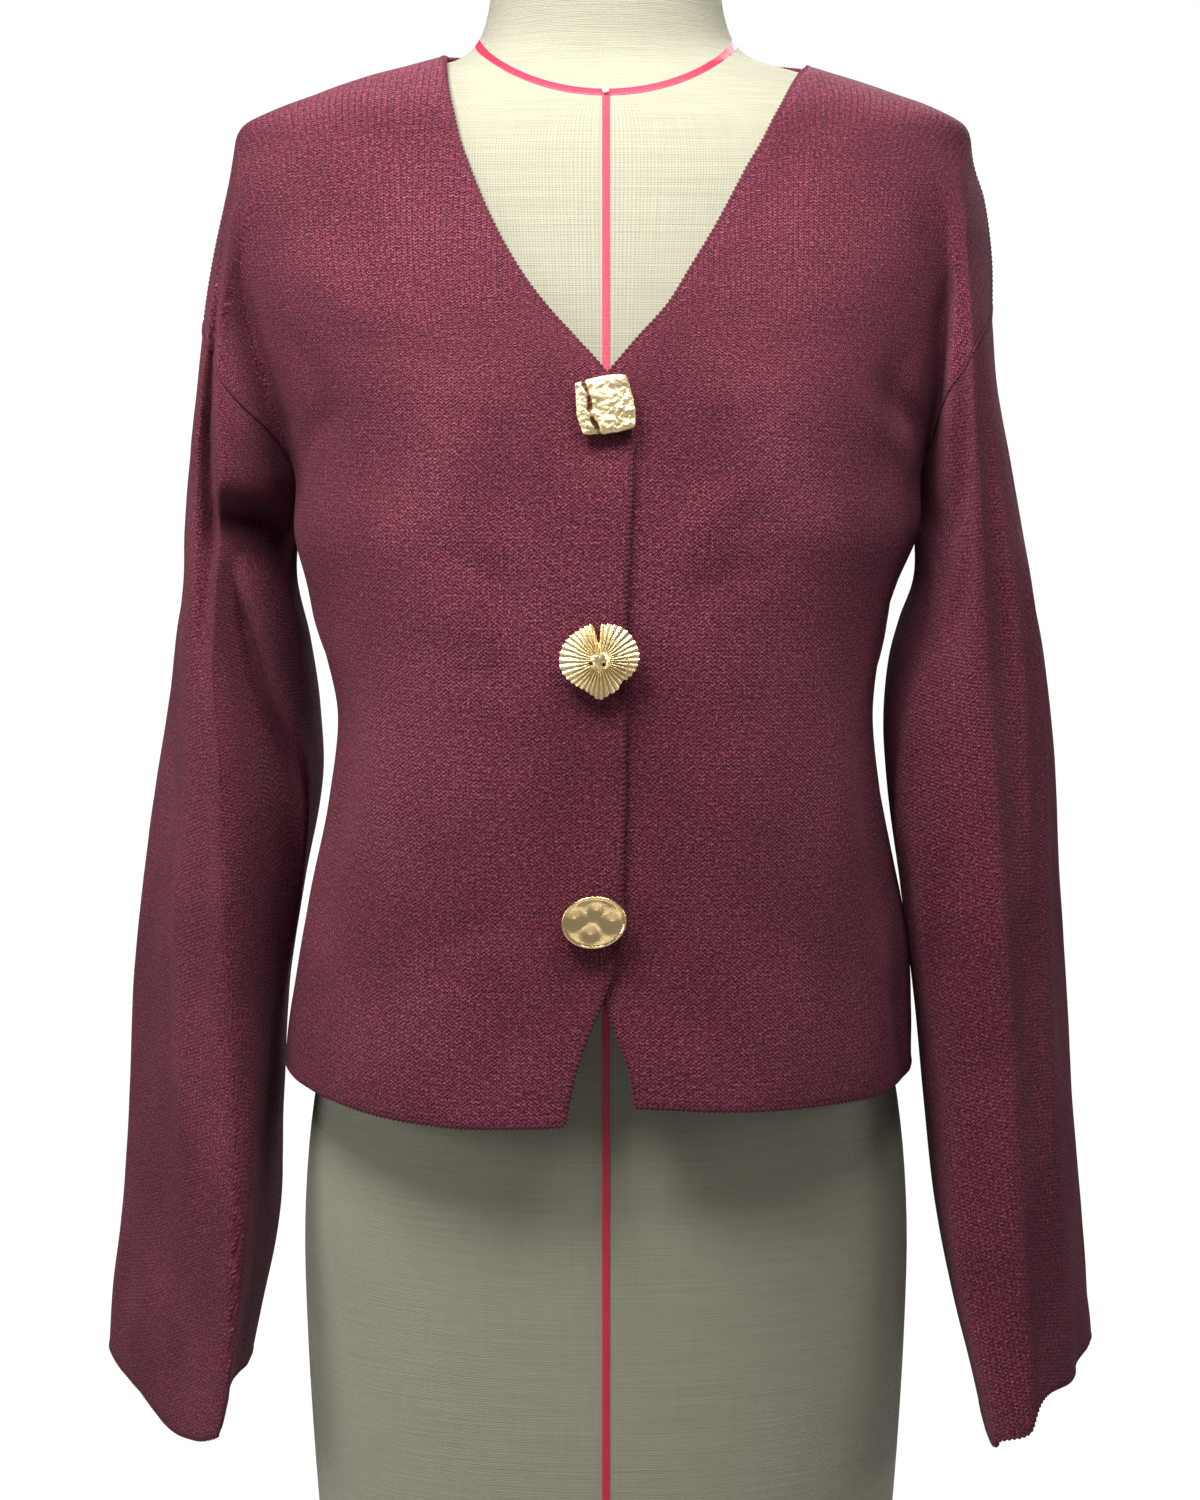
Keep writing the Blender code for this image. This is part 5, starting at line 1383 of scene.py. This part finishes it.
def cast_gold(name, pale, deep, smooth, grain):
    """Cast metal in pale gold with a darker patina in its hollows, which the piece's own attribute marks."""
    finish = Finish(name, metallic=1.0, coat_weight=0.15, coat_roughness=0.1)
    hollow = finish.node("Attribute", {"attribute_name": "hollow"}, output=2)
    place = finish.place()
    speckle, cloud = finish.noise(place, 1400.0, 3.0, 0.65), finish.noise(place, 160.0)
    worn = finish.between(hollow + (speckle - 0.5) * 0.35, 0.25, 0.85)
    gold = finish.mix(worn, finish.mix(cloud, pale, deep), (0.085, 0.030, 0.014))
    roughness = smooth + worn * grain * 1.5 + (speckle - 0.4) * grain
    return finish.made(gold, speckle * 0.7 + cloud * 0.4, 0.00016 * (1 + grain * 6), roughness)


def turned_beech(name):
    """Oiled beech: growth bands up the piece and short darker flecks."""
    finish = Finish(name, specular_ior_level=0.5, coat_weight=0.12, coat_roughness=0.25)
    place = finish.place()
    grain, fleck = finish.streaks(place, 260.0, 260.0, 14.0, 3.0), finish.streaks(place, 900.0, 900.0, 90.0)
    band = (finish.part(place, 0) * 420.0 + grain * 9.0).math("SINE") * 0.5 + 0.5
    base = finish.mix(band * 0.6 + grain * 0.4, (0.46, 0.29, 0.15), (0.62, 0.43, 0.25))
    wood = finish.mix(finish.between(fleck, 0.60, 0.74), base, (0.30, 0.17, 0.08))
    return finish.made(wood, grain + fleck * 0.5, 0.00010, 0.38 + fleck * 0.22)


def black_iron(name):
    """Powder-coated iron: a fine orange-peel skin with a little dust."""
    finish = Finish(name, specular_ior_level=0.5)
    place = finish.place()
    dust = finish.noise(place, 20.0, 4.0, 0.6)
    black = finish.mix(finish.between(dust, 0.45, 0.8), (0.018, 0.018, 0.020), (0.050, 0.048, 0.046))
    return finish.made(black, finish.noise(place, 900.0, 2.0, 0.6), 0.00025, 0.34 + dust * 0.25)


def glazed_pearl(name):
    finish = Finish(name, roughness=0.15, coat_weight=0.6)
    haze = finish.noise(finish.place(), 700.0)
    return finish.made(finish.mix(haze, (0.78, 0.76, 0.72), (0.95, 0.94, 0.92)))


def pale_floor(name):
    finish = Finish(name, roughness=0.8, specular_ior_level=0.2)
    place = finish.place()
    pale = finish.mix(finish.noise(place, 3.0, 4.0), (0.80, 0.79, 0.78), (0.86, 0.855, 0.85))
    return finish.made(pale, finish.noise(place, 240.0, 3.0), 0.0002)


# ---- The dress form's cover and tapes ------------------------------------------------------------------
FORM_BEND_Z = 1.18  # above it the rows lie closer together, where the shoulders turn into the neck
FORM_GIRTH = 0.72  # the whole way round, for the weave
TAPE_WIDTH = 0.0040
MIDDLE_TAPE_SHARE, SHOULDER_TAPE_SHARE = 0.9, 0.5  # how wide the other tapes look beside the neck's
TAPE_THICK = 0.00035
TAPE_SUNK = 0.0002  # a tape's back in the cover
TAPE_EDGE_DROP = 0.00012  # its rims are that much thinner
TAPE_STEPS = (-0.5, -0.42, -0.2, 0.0, 0.2, 0.42, 0.5)  # across it, as shares of its width
NECK_TAPE_FRONT_Z = 1.2390
NECK_TAPE_SIDE_Z = 1.2715
NECK_TAPE_BACK_Z = 1.2800
NECK_TAPE_REACH = 0.0636
NECK_TAPE_DIP = 1.3  # more gives a deeper dip at the front and the back
PIN_HEAD = 0.0017  # the radius of the pin's ball
PIN_MIDDLE = 0.0019  # how far the ball's middle stands out


def form_point(turn, z):
    """The form's cover at a turn from 0 to 1, counted from the middle of its front."""
    row = form_row(z)
    angle = turn * math.tau
    depth = -row.front if math.cos(angle) > 0 else row.back
    x, y = oval(math.asin(min(1.0, abs(math.sin(angle)))), row.half_width, depth, row.power)
    return Vector((math.copysign(x, math.sin(angle)), y, z))


def form_height(share):
    """Heights up the form, half of them above the bend."""
    if share < 0.5:
        return FORM_BOTTOM_Z + (FORM_BEND_Z - FORM_BOTTOM_Z) * share * 2
    return FORM_BEND_Z + (NECK_TOP_Z - FORM_BEND_Z) * (share * 2 - 1)


def turn_of(place):
    """The turn at which a place lies, from the middle of the front."""
    return math.atan2(place.x, -place.y) / math.tau


def form_cover(finish):
    """The linen cover over the whole form, closed at its lower end and at the neck's top."""
    bm = bmesh.new()
    cylinder(bm, FORM_COLUMNS, 1.0, 1.0, 0.0, cap_ends=False)
    upright = [e for e in bm.edges if abs(e.verts[0].co.z - e.verts[1].co.z) > 0.5]
    bmesh.ops.subdivide_edges(bm, edges=upright, cuts=FORM_ROWS - 1, use_grid_fill=True)
    uv = bm.loops.layers.uv.new("flat")
    for face in bm.faces:
        middle = turn_of(face.calc_center_median())
        for loop in face.loops:
            turn = turn_of(loop.vert.co)
            turn += round(middle - turn)
            loop[uv].uv = (turn * FORM_GIRTH, form_height(loop.vert.co.z + 0.5))
    for vert in bm.verts:
        turn = round(turn_of(vert.co) * FORM_COLUMNS) / FORM_COLUMNS
        vert.co = form_point(turn, form_height(vert.co.z + 0.5))
    close_holes(bm)
    return publish("form_cover", bm, finish, 50)


def form_tape(name, path, width, finish, closed=False):
    """A tape laid on the form along places of (turn, z), its middle on the path."""
    points = [form_point(turn, z) for turn, z in path]
    outs, sides = [], []
    for k, (turn, z) in enumerate(path):
        before, after = neighbours(k, len(path) - 1, closed)
        round_way = form_point(turn + 0.004, z) - form_point(turn - 0.004, z)
        up_way = form_point(turn, z + 0.002) - form_point(turn, z - 0.002)
        out = round_way.cross(up_way).normalized()
        outs.append(out)
        sides.append(out.cross(points[after] - points[before]).normalized())
    layers = [
        [
            [p + side * width * step + out * lift for p, out, side in zip(points, outs, sides)]
            for step, lift in zip(TAPE_STEPS, lifts)
        ]
        for lifts in (
            [TAPE_THICK - (TAPE_EDGE_DROP if abs(step) == 0.5 else 0.0) for step in TAPE_STEPS],
            [-TAPE_SUNK] * len(TAPE_STEPS),
        )
    ]
    flats = [[(along, width * (step + 0.5)) for along in distances(points)] for step in TAPE_STEPS]
    return slab(name, layers, flats, finish, tube=closed)


def turn_at(x, z, face):
    """The turn at which the form's section at this height passes a distance from the middle plane."""
    row = form_row(z)
    angle = math.asin(min(abs(x) / row.half_width, 1.0) ** (row.power / 2))
    angle = angle if face == FRONT else math.pi - angle
    return math.copysign(angle, x) / math.tau


def neck_tape_path():
    path = []
    for k in range(NECK_TAPE_STEPS):
        angle = math.tau * k / NECK_TAPE_STEPS
        x = NECK_TAPE_REACH * math.sin(angle)
        low, face = (NECK_TAPE_FRONT_Z, FRONT) if math.cos(angle) > 0 else (NECK_TAPE_BACK_Z, BACK)
        z = NECK_TAPE_SIDE_Z + (low - NECK_TAPE_SIDE_Z) * abs(math.cos(angle)) ** NECK_TAPE_DIP
        turn = turn_at(x, z, face)
        path.append((turn % 1.0 if k > NECK_TAPE_STEPS / 2 else abs(turn), z))
    return path + path[:1]


def upright_path(turn, low, top, count):
    return [(turn, low + (top - low) * k / count) for k in range(count + 1)]


def form_tapes(finish):
    """The red tapes: round the neck's foot, down the middles from it, and out along the shoulders."""
    form_tape("neck_tape", neck_tape_path(), TAPE_WIDTH, finish, closed=True)
    for name, turn, top in (("front_tape", 0.0, NECK_TAPE_FRONT_Z), ("back_tape", 0.5, NECK_TAPE_BACK_Z)):
        path = upright_path(turn, FORM_BOTTOM_Z + 0.001, top, MIDDLE_TAPE_STEPS)
        form_tape(name, path, TAPE_WIDTH * MIDDLE_TAPE_SHARE, finish)
    for name, side in (("right", RIGHT), ("left", LEFT)):
        path = upright_path(side / 4, SHOULDER_TIP_Z + 0.004, NECK_TAPE_SIDE_Z, SHOULDER_TAPE_STEPS)
        form_tape(f"{name}_shoulder_tape", path, TAPE_WIDTH * SHOULDER_TAPE_SHARE, finish)


def tape_pin(finish):
    """A ball-headed pin where the neck tape crosses the front tape."""
    shaft = [(0.0, -0.0020), (0.0004, -0.0020), (0.0004, 0.0002), (0.0008, 0.0004)]
    ball = [
        (PIN_HEAD * math.cos(a), PIN_MIDDLE + PIN_HEAD * math.sin(a)) for a in (-0.9, -0.5, 0.0, 0.5, 0.9, 1.25)
    ]
    bm = turned(shaft + ball + [(0.0, PIN_MIDDLE + PIN_HEAD)], PIN_SIDES)
    spot = form_point(0.0, NECK_TAPE_FRONT_Z)
    tilt = Vector((-0.1, -1.0, 0.5)).to_track_quat("Z", "Y").to_matrix().to_4x4()
    bmesh.ops.transform(bm, matrix=Matrix.Translation(spot) @ tilt, verts=bm.verts)
    return publish("tape_pin", bm, finish)


# ---- The buttons ---------------------------------------------------------------------------------------
SQUARE, LEAF, OVAL = table(
    "name x z turn lean",
    ("button_square", -0.0005, 1.0898, 9, 6),
    ("button_leaf", -0.0027, 0.9755, 0, 2),
    ("button_oval", -0.0054, 0.8585, 7, -2),
)
BUTTON_LIFT = 0.0004  # the shank's foot stands this far out of the knit
SHANK_SUNK = 0.001  # the shank's head in the button


def button_place(row):
    """Stands a button, built facing +Z, on the right front, facing out."""
    point = dressed(RIGHT, FRONT, row.z, way_at(RIGHT, FRONT, row.z, -row.x))
    lean = math.radians(row.lean)
    out, right = Vector((0.0, -math.cos(lean), math.sin(lean))), Vector((1.0, 0.0, 0.0))
    basis = Matrix((right, out.cross(right), out)).transposed().to_4x4()
    spin = Matrix.Rotation(math.radians(row.turn), 4, "Z")
    return Matrix.Translation(point + out * BUTTON_LIFT) @ basis @ spin


def sew_on(row, bm, hollows, finish):
    """Adds the button's shank, marks its hollows, and stands it on the front."""
    layer = bm.verts.layers.float.new("hollow")
    for vert in bm.verts:
        vert[layer] = hollows.get(vert.index, 0.0)
    height = SHANK_LENGTH + SHANK_SUNK
    cylinder(bm, SHANK_SIDES, SHANK_RADIUS, height, height / 2)
    bmesh.ops.transform(bm, matrix=button_place(row), verts=bm.verts)
    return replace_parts(publish(row.name + "_cast", bm, finish, 70), row.name)


def square_button(finish):
    """A thick square nugget with a worn groove down it and a crumpled face."""
    half, hollows = SQUARE_SIDE / 2, {}
    bm = block(SQUARE_CELLS, SQUARE_CELLS, half, SQUARE_THICK)
    bm.verts.index_update()
    for vert in bm.verts:
        x, y = vert.co.x / half, vert.co.y / half
        if vert.co.z > SQUARE_THICK / 2:
            groove = math.exp(-(((x + 0.52 + 0.11 * y - 0.05 * math.sin(5 * y)) / 0.10) ** 2))
            groove *= 0.80 + 0.20 * math.sin(9 * y + 1)
            crumple = noise.turbulence(vert.co * 420, 3, False)
            fold = math.sin(5.1 * x + 2.0 * y) * math.cos(4.3 * y - 1.1 * x)
            rim = max(abs(x), abs(y)) ** 9
            vert.co.z += 0.00028 * fold + 0.0004 * (crumple - 0.45) - 0.0012 * groove - 0.0010 * rim
            hollows[vert.index] = 1.1 * groove + 0.35 * max(0.0, 0.30 - crumple)
        rag = 0.02 * noise.noise((x * 3, y * 3, 4.0)) + 0.012 * noise.noise((x * 9, y * 9, 7.0))
        vert.co.x *= (1 + 0.035 * math.cos(3.0 * y + 0.6)) * (1 - 0.05 * abs(y) ** 4) + rag
        vert.co.y *= 1 + 0.03 * math.cos(2.6 * x - 0.5) - 0.05 * abs(x) ** 4 + rag
    bmesh.ops.translate(bm, vec=(0, 0, SHANK_LENGTH), verts=bm.verts)
    return sew_on(SQUARE, bm, hollows, finish)


def disc_button(row, rings, segments, face, finish):
    """A round-backed button: `face` gives reach, lift and hollow from the share outwards and the angle."""
    front = [((k / rings) ** 0.9, 1.0) for k in range(rings + 1)]
    bm = turned(front + [(share, 0.0) for share in (0.985, 0.93, 0.5, 0.0)], segments)
    bm.verts.index_update()
    hollows = {}
    for vert in bm.verts:
        share, angle = math.hypot(vert.co.x, vert.co.y), math.atan2(vert.co.y, vert.co.x)
        reach, lift, hollow = face(share, angle)
        if vert.co.z > 0.5:
            hollows[vert.index] = hollow
        else:
            lift = 0.0 if share < 0.95 else 0.0004
        vert.co = (reach * math.cos(angle), reach * math.sin(angle), SHANK_LENGTH + lift)
    return sew_on(row, bm, hollows, finish)


LEAF_RIBS = 38
LEAF_PITS = ((-0.0041, -0.0014), (0.0018, -0.0019))
LEAF_SLOT = 95  # the slot's angle from the right, in degrees
# The leaf's outline: its reach at each angle from the right, anticlockwise, as a share of half of its span.
LEAF_OUTLINE = table(
    "angle reach",
    (-105.0, 0.89), (-90.0, 0.99), (-75.0, 0.90), (-60.0, 0.875), (-45.0, 0.78), (-30.0, 0.86), (0.0, 0.99),
    (30.0, 1.00), (50.0, 1.00), (70.0, 0.96), (88.0, 0.90), (100.0, 0.94), (125.0, 0.93), (145.0, 0.98),
    (180.0, 1.03), (200.0, 1.00), (215.0, 0.93), (240.0, 0.85), (255.0, 0.89),
)


def leaf_face(share, angle):
    """The leaf button: ribs from its middle, a deep slot at the top, a point at the bottom, two pits."""
    from_slot = math.remainder(angle - math.radians(LEAF_SLOT), math.tau)
    slot = 0.46 * math.exp(-((from_slot / 0.075) ** 4))
    rib = math.cos(LEAF_RIBS * angle + 1.2 * math.sin(3 * angle))
    spread = smooth_step((share - 0.12) / 0.3)
    outline = read_table(LEAF_OUTLINE, (math.degrees(angle) + 105) % 360 - 105).reach
    reach = (outline + 0.012 * rib - slot) * share * LEAF_SPAN / 2
    x, y = reach * math.cos(angle), reach * math.sin(angle)
    pits = sum(math.exp(-(((x - px) ** 2 + (y - py) ** 2) / 0.0010**2)) for px, py in LEAF_PITS)
    hub = math.exp(-((share / 0.16) ** 2))
    lift = 0.0042 * (1 - 0.62 * share**2.2) + 0.00042 * rib * spread + 0.0005 * hub - 0.0011 * pits
    return reach, lift, 0.55 * spread * max(0.0, -rib) + 1.2 * pits


OVAL_DENTS = table(
    "x y width depth",
    (-0.0080, 0.0024, 0.0044, 0.00150),
    (0.0014, 0.0050, 0.0036, 0.00100),
    (0.0076, -0.0006, 0.0044, 0.00160),
    (-0.0022, -0.0050, 0.0040, 0.00125),
)


def oval_face(share, angle):
    """The oval button: a thin raised rim round a face with a few large soft dents."""
    reach = share / math.hypot(math.cos(angle) / (OVAL_WIDTH / 2), math.sin(angle) / (OVAL_HEIGHT / 2))
    x, y = reach * math.cos(angle), reach * math.sin(angle)
    dents = sum(
        dent.depth * math.exp(-(((x - dent.x) / dent.width) ** 2 + ((y - dent.y) / (0.8 * dent.width)) ** 2))
        for dent in OVAL_DENTS
    )
    rim = math.exp(-(((share - 0.93) / 0.045) ** 2))
    edge = smooth_step((share - 0.95) / 0.05)
    lift = 0.0037 - 0.0010 * share**2 - dents * (1 - rim) + 0.0006 * rim - 0.0014 * edge
    return reach, lift, 0.0


def buttons():
    pale, sand = (0.86, 0.72, 0.43), (0.74, 0.56, 0.30)
    warm, amber = (0.84, 0.63, 0.33), (0.78, 0.55, 0.26)
    square_button(cast_gold("nugget_gold", pale, sand, 0.30, 0.22))
    disc_button(LEAF, LEAF_RINGS, LEAF_RIBS * 8, leaf_face, cast_gold("leaf_gold", pale, sand, 0.24, 0.12))
    disc_button(
        OVAL, OVAL_RINGS, OVAL_COLUMNS, oval_face, cast_gold("polished_gold", warm, amber, 0.06, 0.01)
    )


# ---- The cardigan --------------------------------------------------------------------------------------
# Each piece as it is knitted flat: its greatest width and length, and its area where it isn't a rectangle.
CUTS = table(
    "name width length area",
    ("right_front", 0.27, 0.52, 0.110),
    ("left_front", 0.28, 0.52, 0.115),
    ("back", 0.52, 0.53, 0.245),
    ("right_sleeve", 0.42, 0.55, 0.19),
    ("left_sleeve", 0.42, 0.56, 0.19),
)
BODY_SEAMS = {"right_front": ("end", "last"), "left_front": ("end", "last"), "back": ("start", "end", "last")}
FRONTS, SLEEVES = ("right_front", "left_front"), ("right_sleeve", "left_sleeve")

Chain = namedtuple("Chain", "radius sunk")  # a chain of yarn, and how deep in the wall its middle lies
SELVEDGE = Chain(0.00125, KNIT / 2)
SIDE_LINK = Chain(0.00085, 0.00085)
SHALLOW_LINK = Chain(SIDE_LINK.radius, SIDE_LINK.radius * 0.3)


def cardigan():
    knit, yarn = fine_knit("burgundy_knit"), selvedge_yarn("burgundy_selvedge")
    panels = {
        "right_front": front_panel(RIGHT), "left_front": front_panel(LEFT), "back": back_panel(),
        "right_sleeve": sleeve_panel(RIGHT), "left_sleeve": sleeve_panel(LEFT),
    }
    directions = shared_normals(*([(panels[name].rows, panels[name].turn) for name in names]
                                  for names in (BODY_SEAMS, SLEEVES)))
    cloths, pieces, trims = {}, {}, {name: [] for name in panels}
    for name, panel in panels.items():
        tube = name in SLEEVES
        cloths[name] = creased(name, panel, directions, ("first", "start", "end") if tube else BODY_SEAMS[name])
        seams = ("first",) if tube else BODY_SEAMS[name]
        pieces[name] = knitted(name + "_knit", cloths[name], panel, seams, knit, tube)

    def chain(owner, label, side, kind, start=0, stop=None):
        line = rim_line(cloths[owner], side, kind.sunk)[start:stop]
        trims[owner].append(yarn_chain(f"{owner}_{label}", line, kind.radius, yarn, owner in SLEEVES))

    for name in FRONTS:
        chain(name, "edge", "start", SELVEDGE)
        chain(name, "hem", "first", SELVEDGE)
    chain("back", "hem", "first", SELVEDGE)
    middle = len(cloths["back"].rows[0]) // 2
    chain("back", "neck_edge", "last", SELVEDGE, middle - NECK_COLUMNS, middle + NECK_COLUMNS + 1)
    for name in SLEEVES:
        chain(name, "cuff", "last", SELVEDGE)
        chain(name, "link", "first", SHALLOW_LINK)
    for name in FRONTS:
        chain(name, "shoulder_link", "last", SHALLOW_LINK)
        chain(name, "side_link", "end", SIDE_LINK, stop=LOWER_ROWS + 1)


# ---- The scene -----------------------------------------------------------------------------------------
CAMERA_DISTANCE = 1.35
CAMERA_HEIGHT = 1.079
PICTURE_WIDTH, PICTURE_HEIGHT = 1200, 1500
AXIS_X, AXIS_Y = 606, 430  # where the camera's line of sight meets the frame, from its upper left corner
PIXELS_PER_METRE = 2000  # in the plane of the form's middle
FLOOR_RADIUS = 1.3
FLOOR_THICK = 0.004
FLOOR_GAP = 0.0001  # under the stand's base
WORLD_DIM, WORLD_BRIGHT = 0.045, 1.05  # as a light, and where it is looked at
WORLD_IN_METAL = 0.25  # the share of the brightness that polished metal shows
DAYLIGHT = (1.0, 0.985, 0.96)
WHITE = (1.0, 1.0, 1.0)
# The lights: where each stands and what it faces, the width of its disc, its power and its colour.
LIGHTS = table(
    "name place target size power tint",
    ("window", (-0.38, -0.58, 1.84), (0.0, 0.0, 1.1), 0.45, 17.0, DAYLIGHT),
    ("ceiling", (0.14, -0.42, 1.56), (0.06, -0.1, 1.05), 0.3, 4.4, DAYLIGHT),
    ("side", (-1.7, -0.9, 1.3), (0.0, 0.0, 0.95), 0.8, 12.5, WHITE),
    ("far_side", (1.8, -0.30, 1.25), (0.0, 0.0, 0.95), 0.7, 6.0, WHITE),
    ("card", (-0.04, -1.3, 0.30), (0.0, -0.12, 0.86), 0.44, 0.75, (1.0, 0.96, 0.90)),
    ("rear", (0.6, 2.2, 2.0), (0.0, 0.0, 1.0), 1.4, 50.0, WHITE),
)


def camera():
    data = bpy.data.cameras.new("camera")
    data.sensor_width = 36.0
    data.lens = data.sensor_width * CAMERA_DISTANCE * PIXELS_PER_METRE / PICTURE_HEIGHT
    data.shift_x = (PICTURE_WIDTH / 2 - AXIS_X) / PICTURE_HEIGHT
    data.shift_y = (AXIS_Y - PICTURE_HEIGHT / 2) / PICTURE_HEIGHT
    obj = add_object("camera", data)
    obj.location = (0.0, -CAMERA_DISTANCE, CAMERA_HEIGHT)
    obj.rotation_euler = (math.radians(90), 0.0, 0.0)
    bpy.context.scene.camera = obj


def area_light(light):
    data = bpy.data.lights.new(light.name, "AREA")
    data.shape, data.size, data.energy, data.color = "DISK", light.size, light.power, light.tint
    obj = add_object(light.name, data)
    obj.location = light.place
    obj.rotation_euler = (Vector(light.target) - Vector(light.place)).to_track_quat("-Z", "Y").to_euler()


def studio():
    """A white room: bright where it is looked at, a quarter as bright in polished metal, dim as a light."""
    world = bpy.data.worlds.new("white_room")
    world.use_nodes = True
    tree = world.node_tree
    seen = next(node for node in tree.nodes if node.type == "BACKGROUND")
    kinds = ("LightPath", "Math", "MapRange")
    path, mirrored, strength = (tree.nodes.new("ShaderNode" + kind) for kind in kinds)
    mirrored.operation = "MULTIPLY_ADD"
    mirrored.inputs[1].default_value = WORLD_IN_METAL
    strength.inputs["To Min"].default_value = WORLD_DIM
    strength.inputs["To Max"].default_value = WORLD_BRIGHT
    seen.inputs["Color"].default_value = (*WHITE, 1.0)
    for start, end in (
        (path.outputs["Is Glossy Ray"], mirrored.inputs[0]),
        (path.outputs["Is Camera Ray"], mirrored.inputs[2]),
        (mirrored.outputs["Value"], strength.inputs["Value"]),
        (strength.outputs["Result"], seen.inputs["Strength"]),
    ):
        tree.links.new(start, end)
    bpy.context.scene.world = world
    bpy.context.scene.view_settings.view_transform = "Standard"
    for light in LIGHTS:
        area_light(light)


def floor(finish):
    bm = bmesh.new()
    cylinder(bm, FLOOR_SIDES, FLOOR_RADIUS, FLOOR_THICK, -FLOOR_THICK / 2 - FLOOR_GAP)
    add_mesh("studio_floor", bm, finish)


camera()
studio()
floor(pale_floor("floor_finish"))
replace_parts(form_cover(cream_linen("cream_linen")), "form_torso")
form_tapes(red_tape("red_tape"))
tape_pin(glazed_pearl("pearl"))
cardigan()
buttons()
for node, finish in (
    ("neck_cap", turned_beech("cap_beech")), ("stand_collar", turned_beech("collar_beech")),
    ("stand_pole", black_iron("pole_iron")), ("stand_base", black_iron("base_iron")),
):
    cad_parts[node].material_slots[0].material = finish
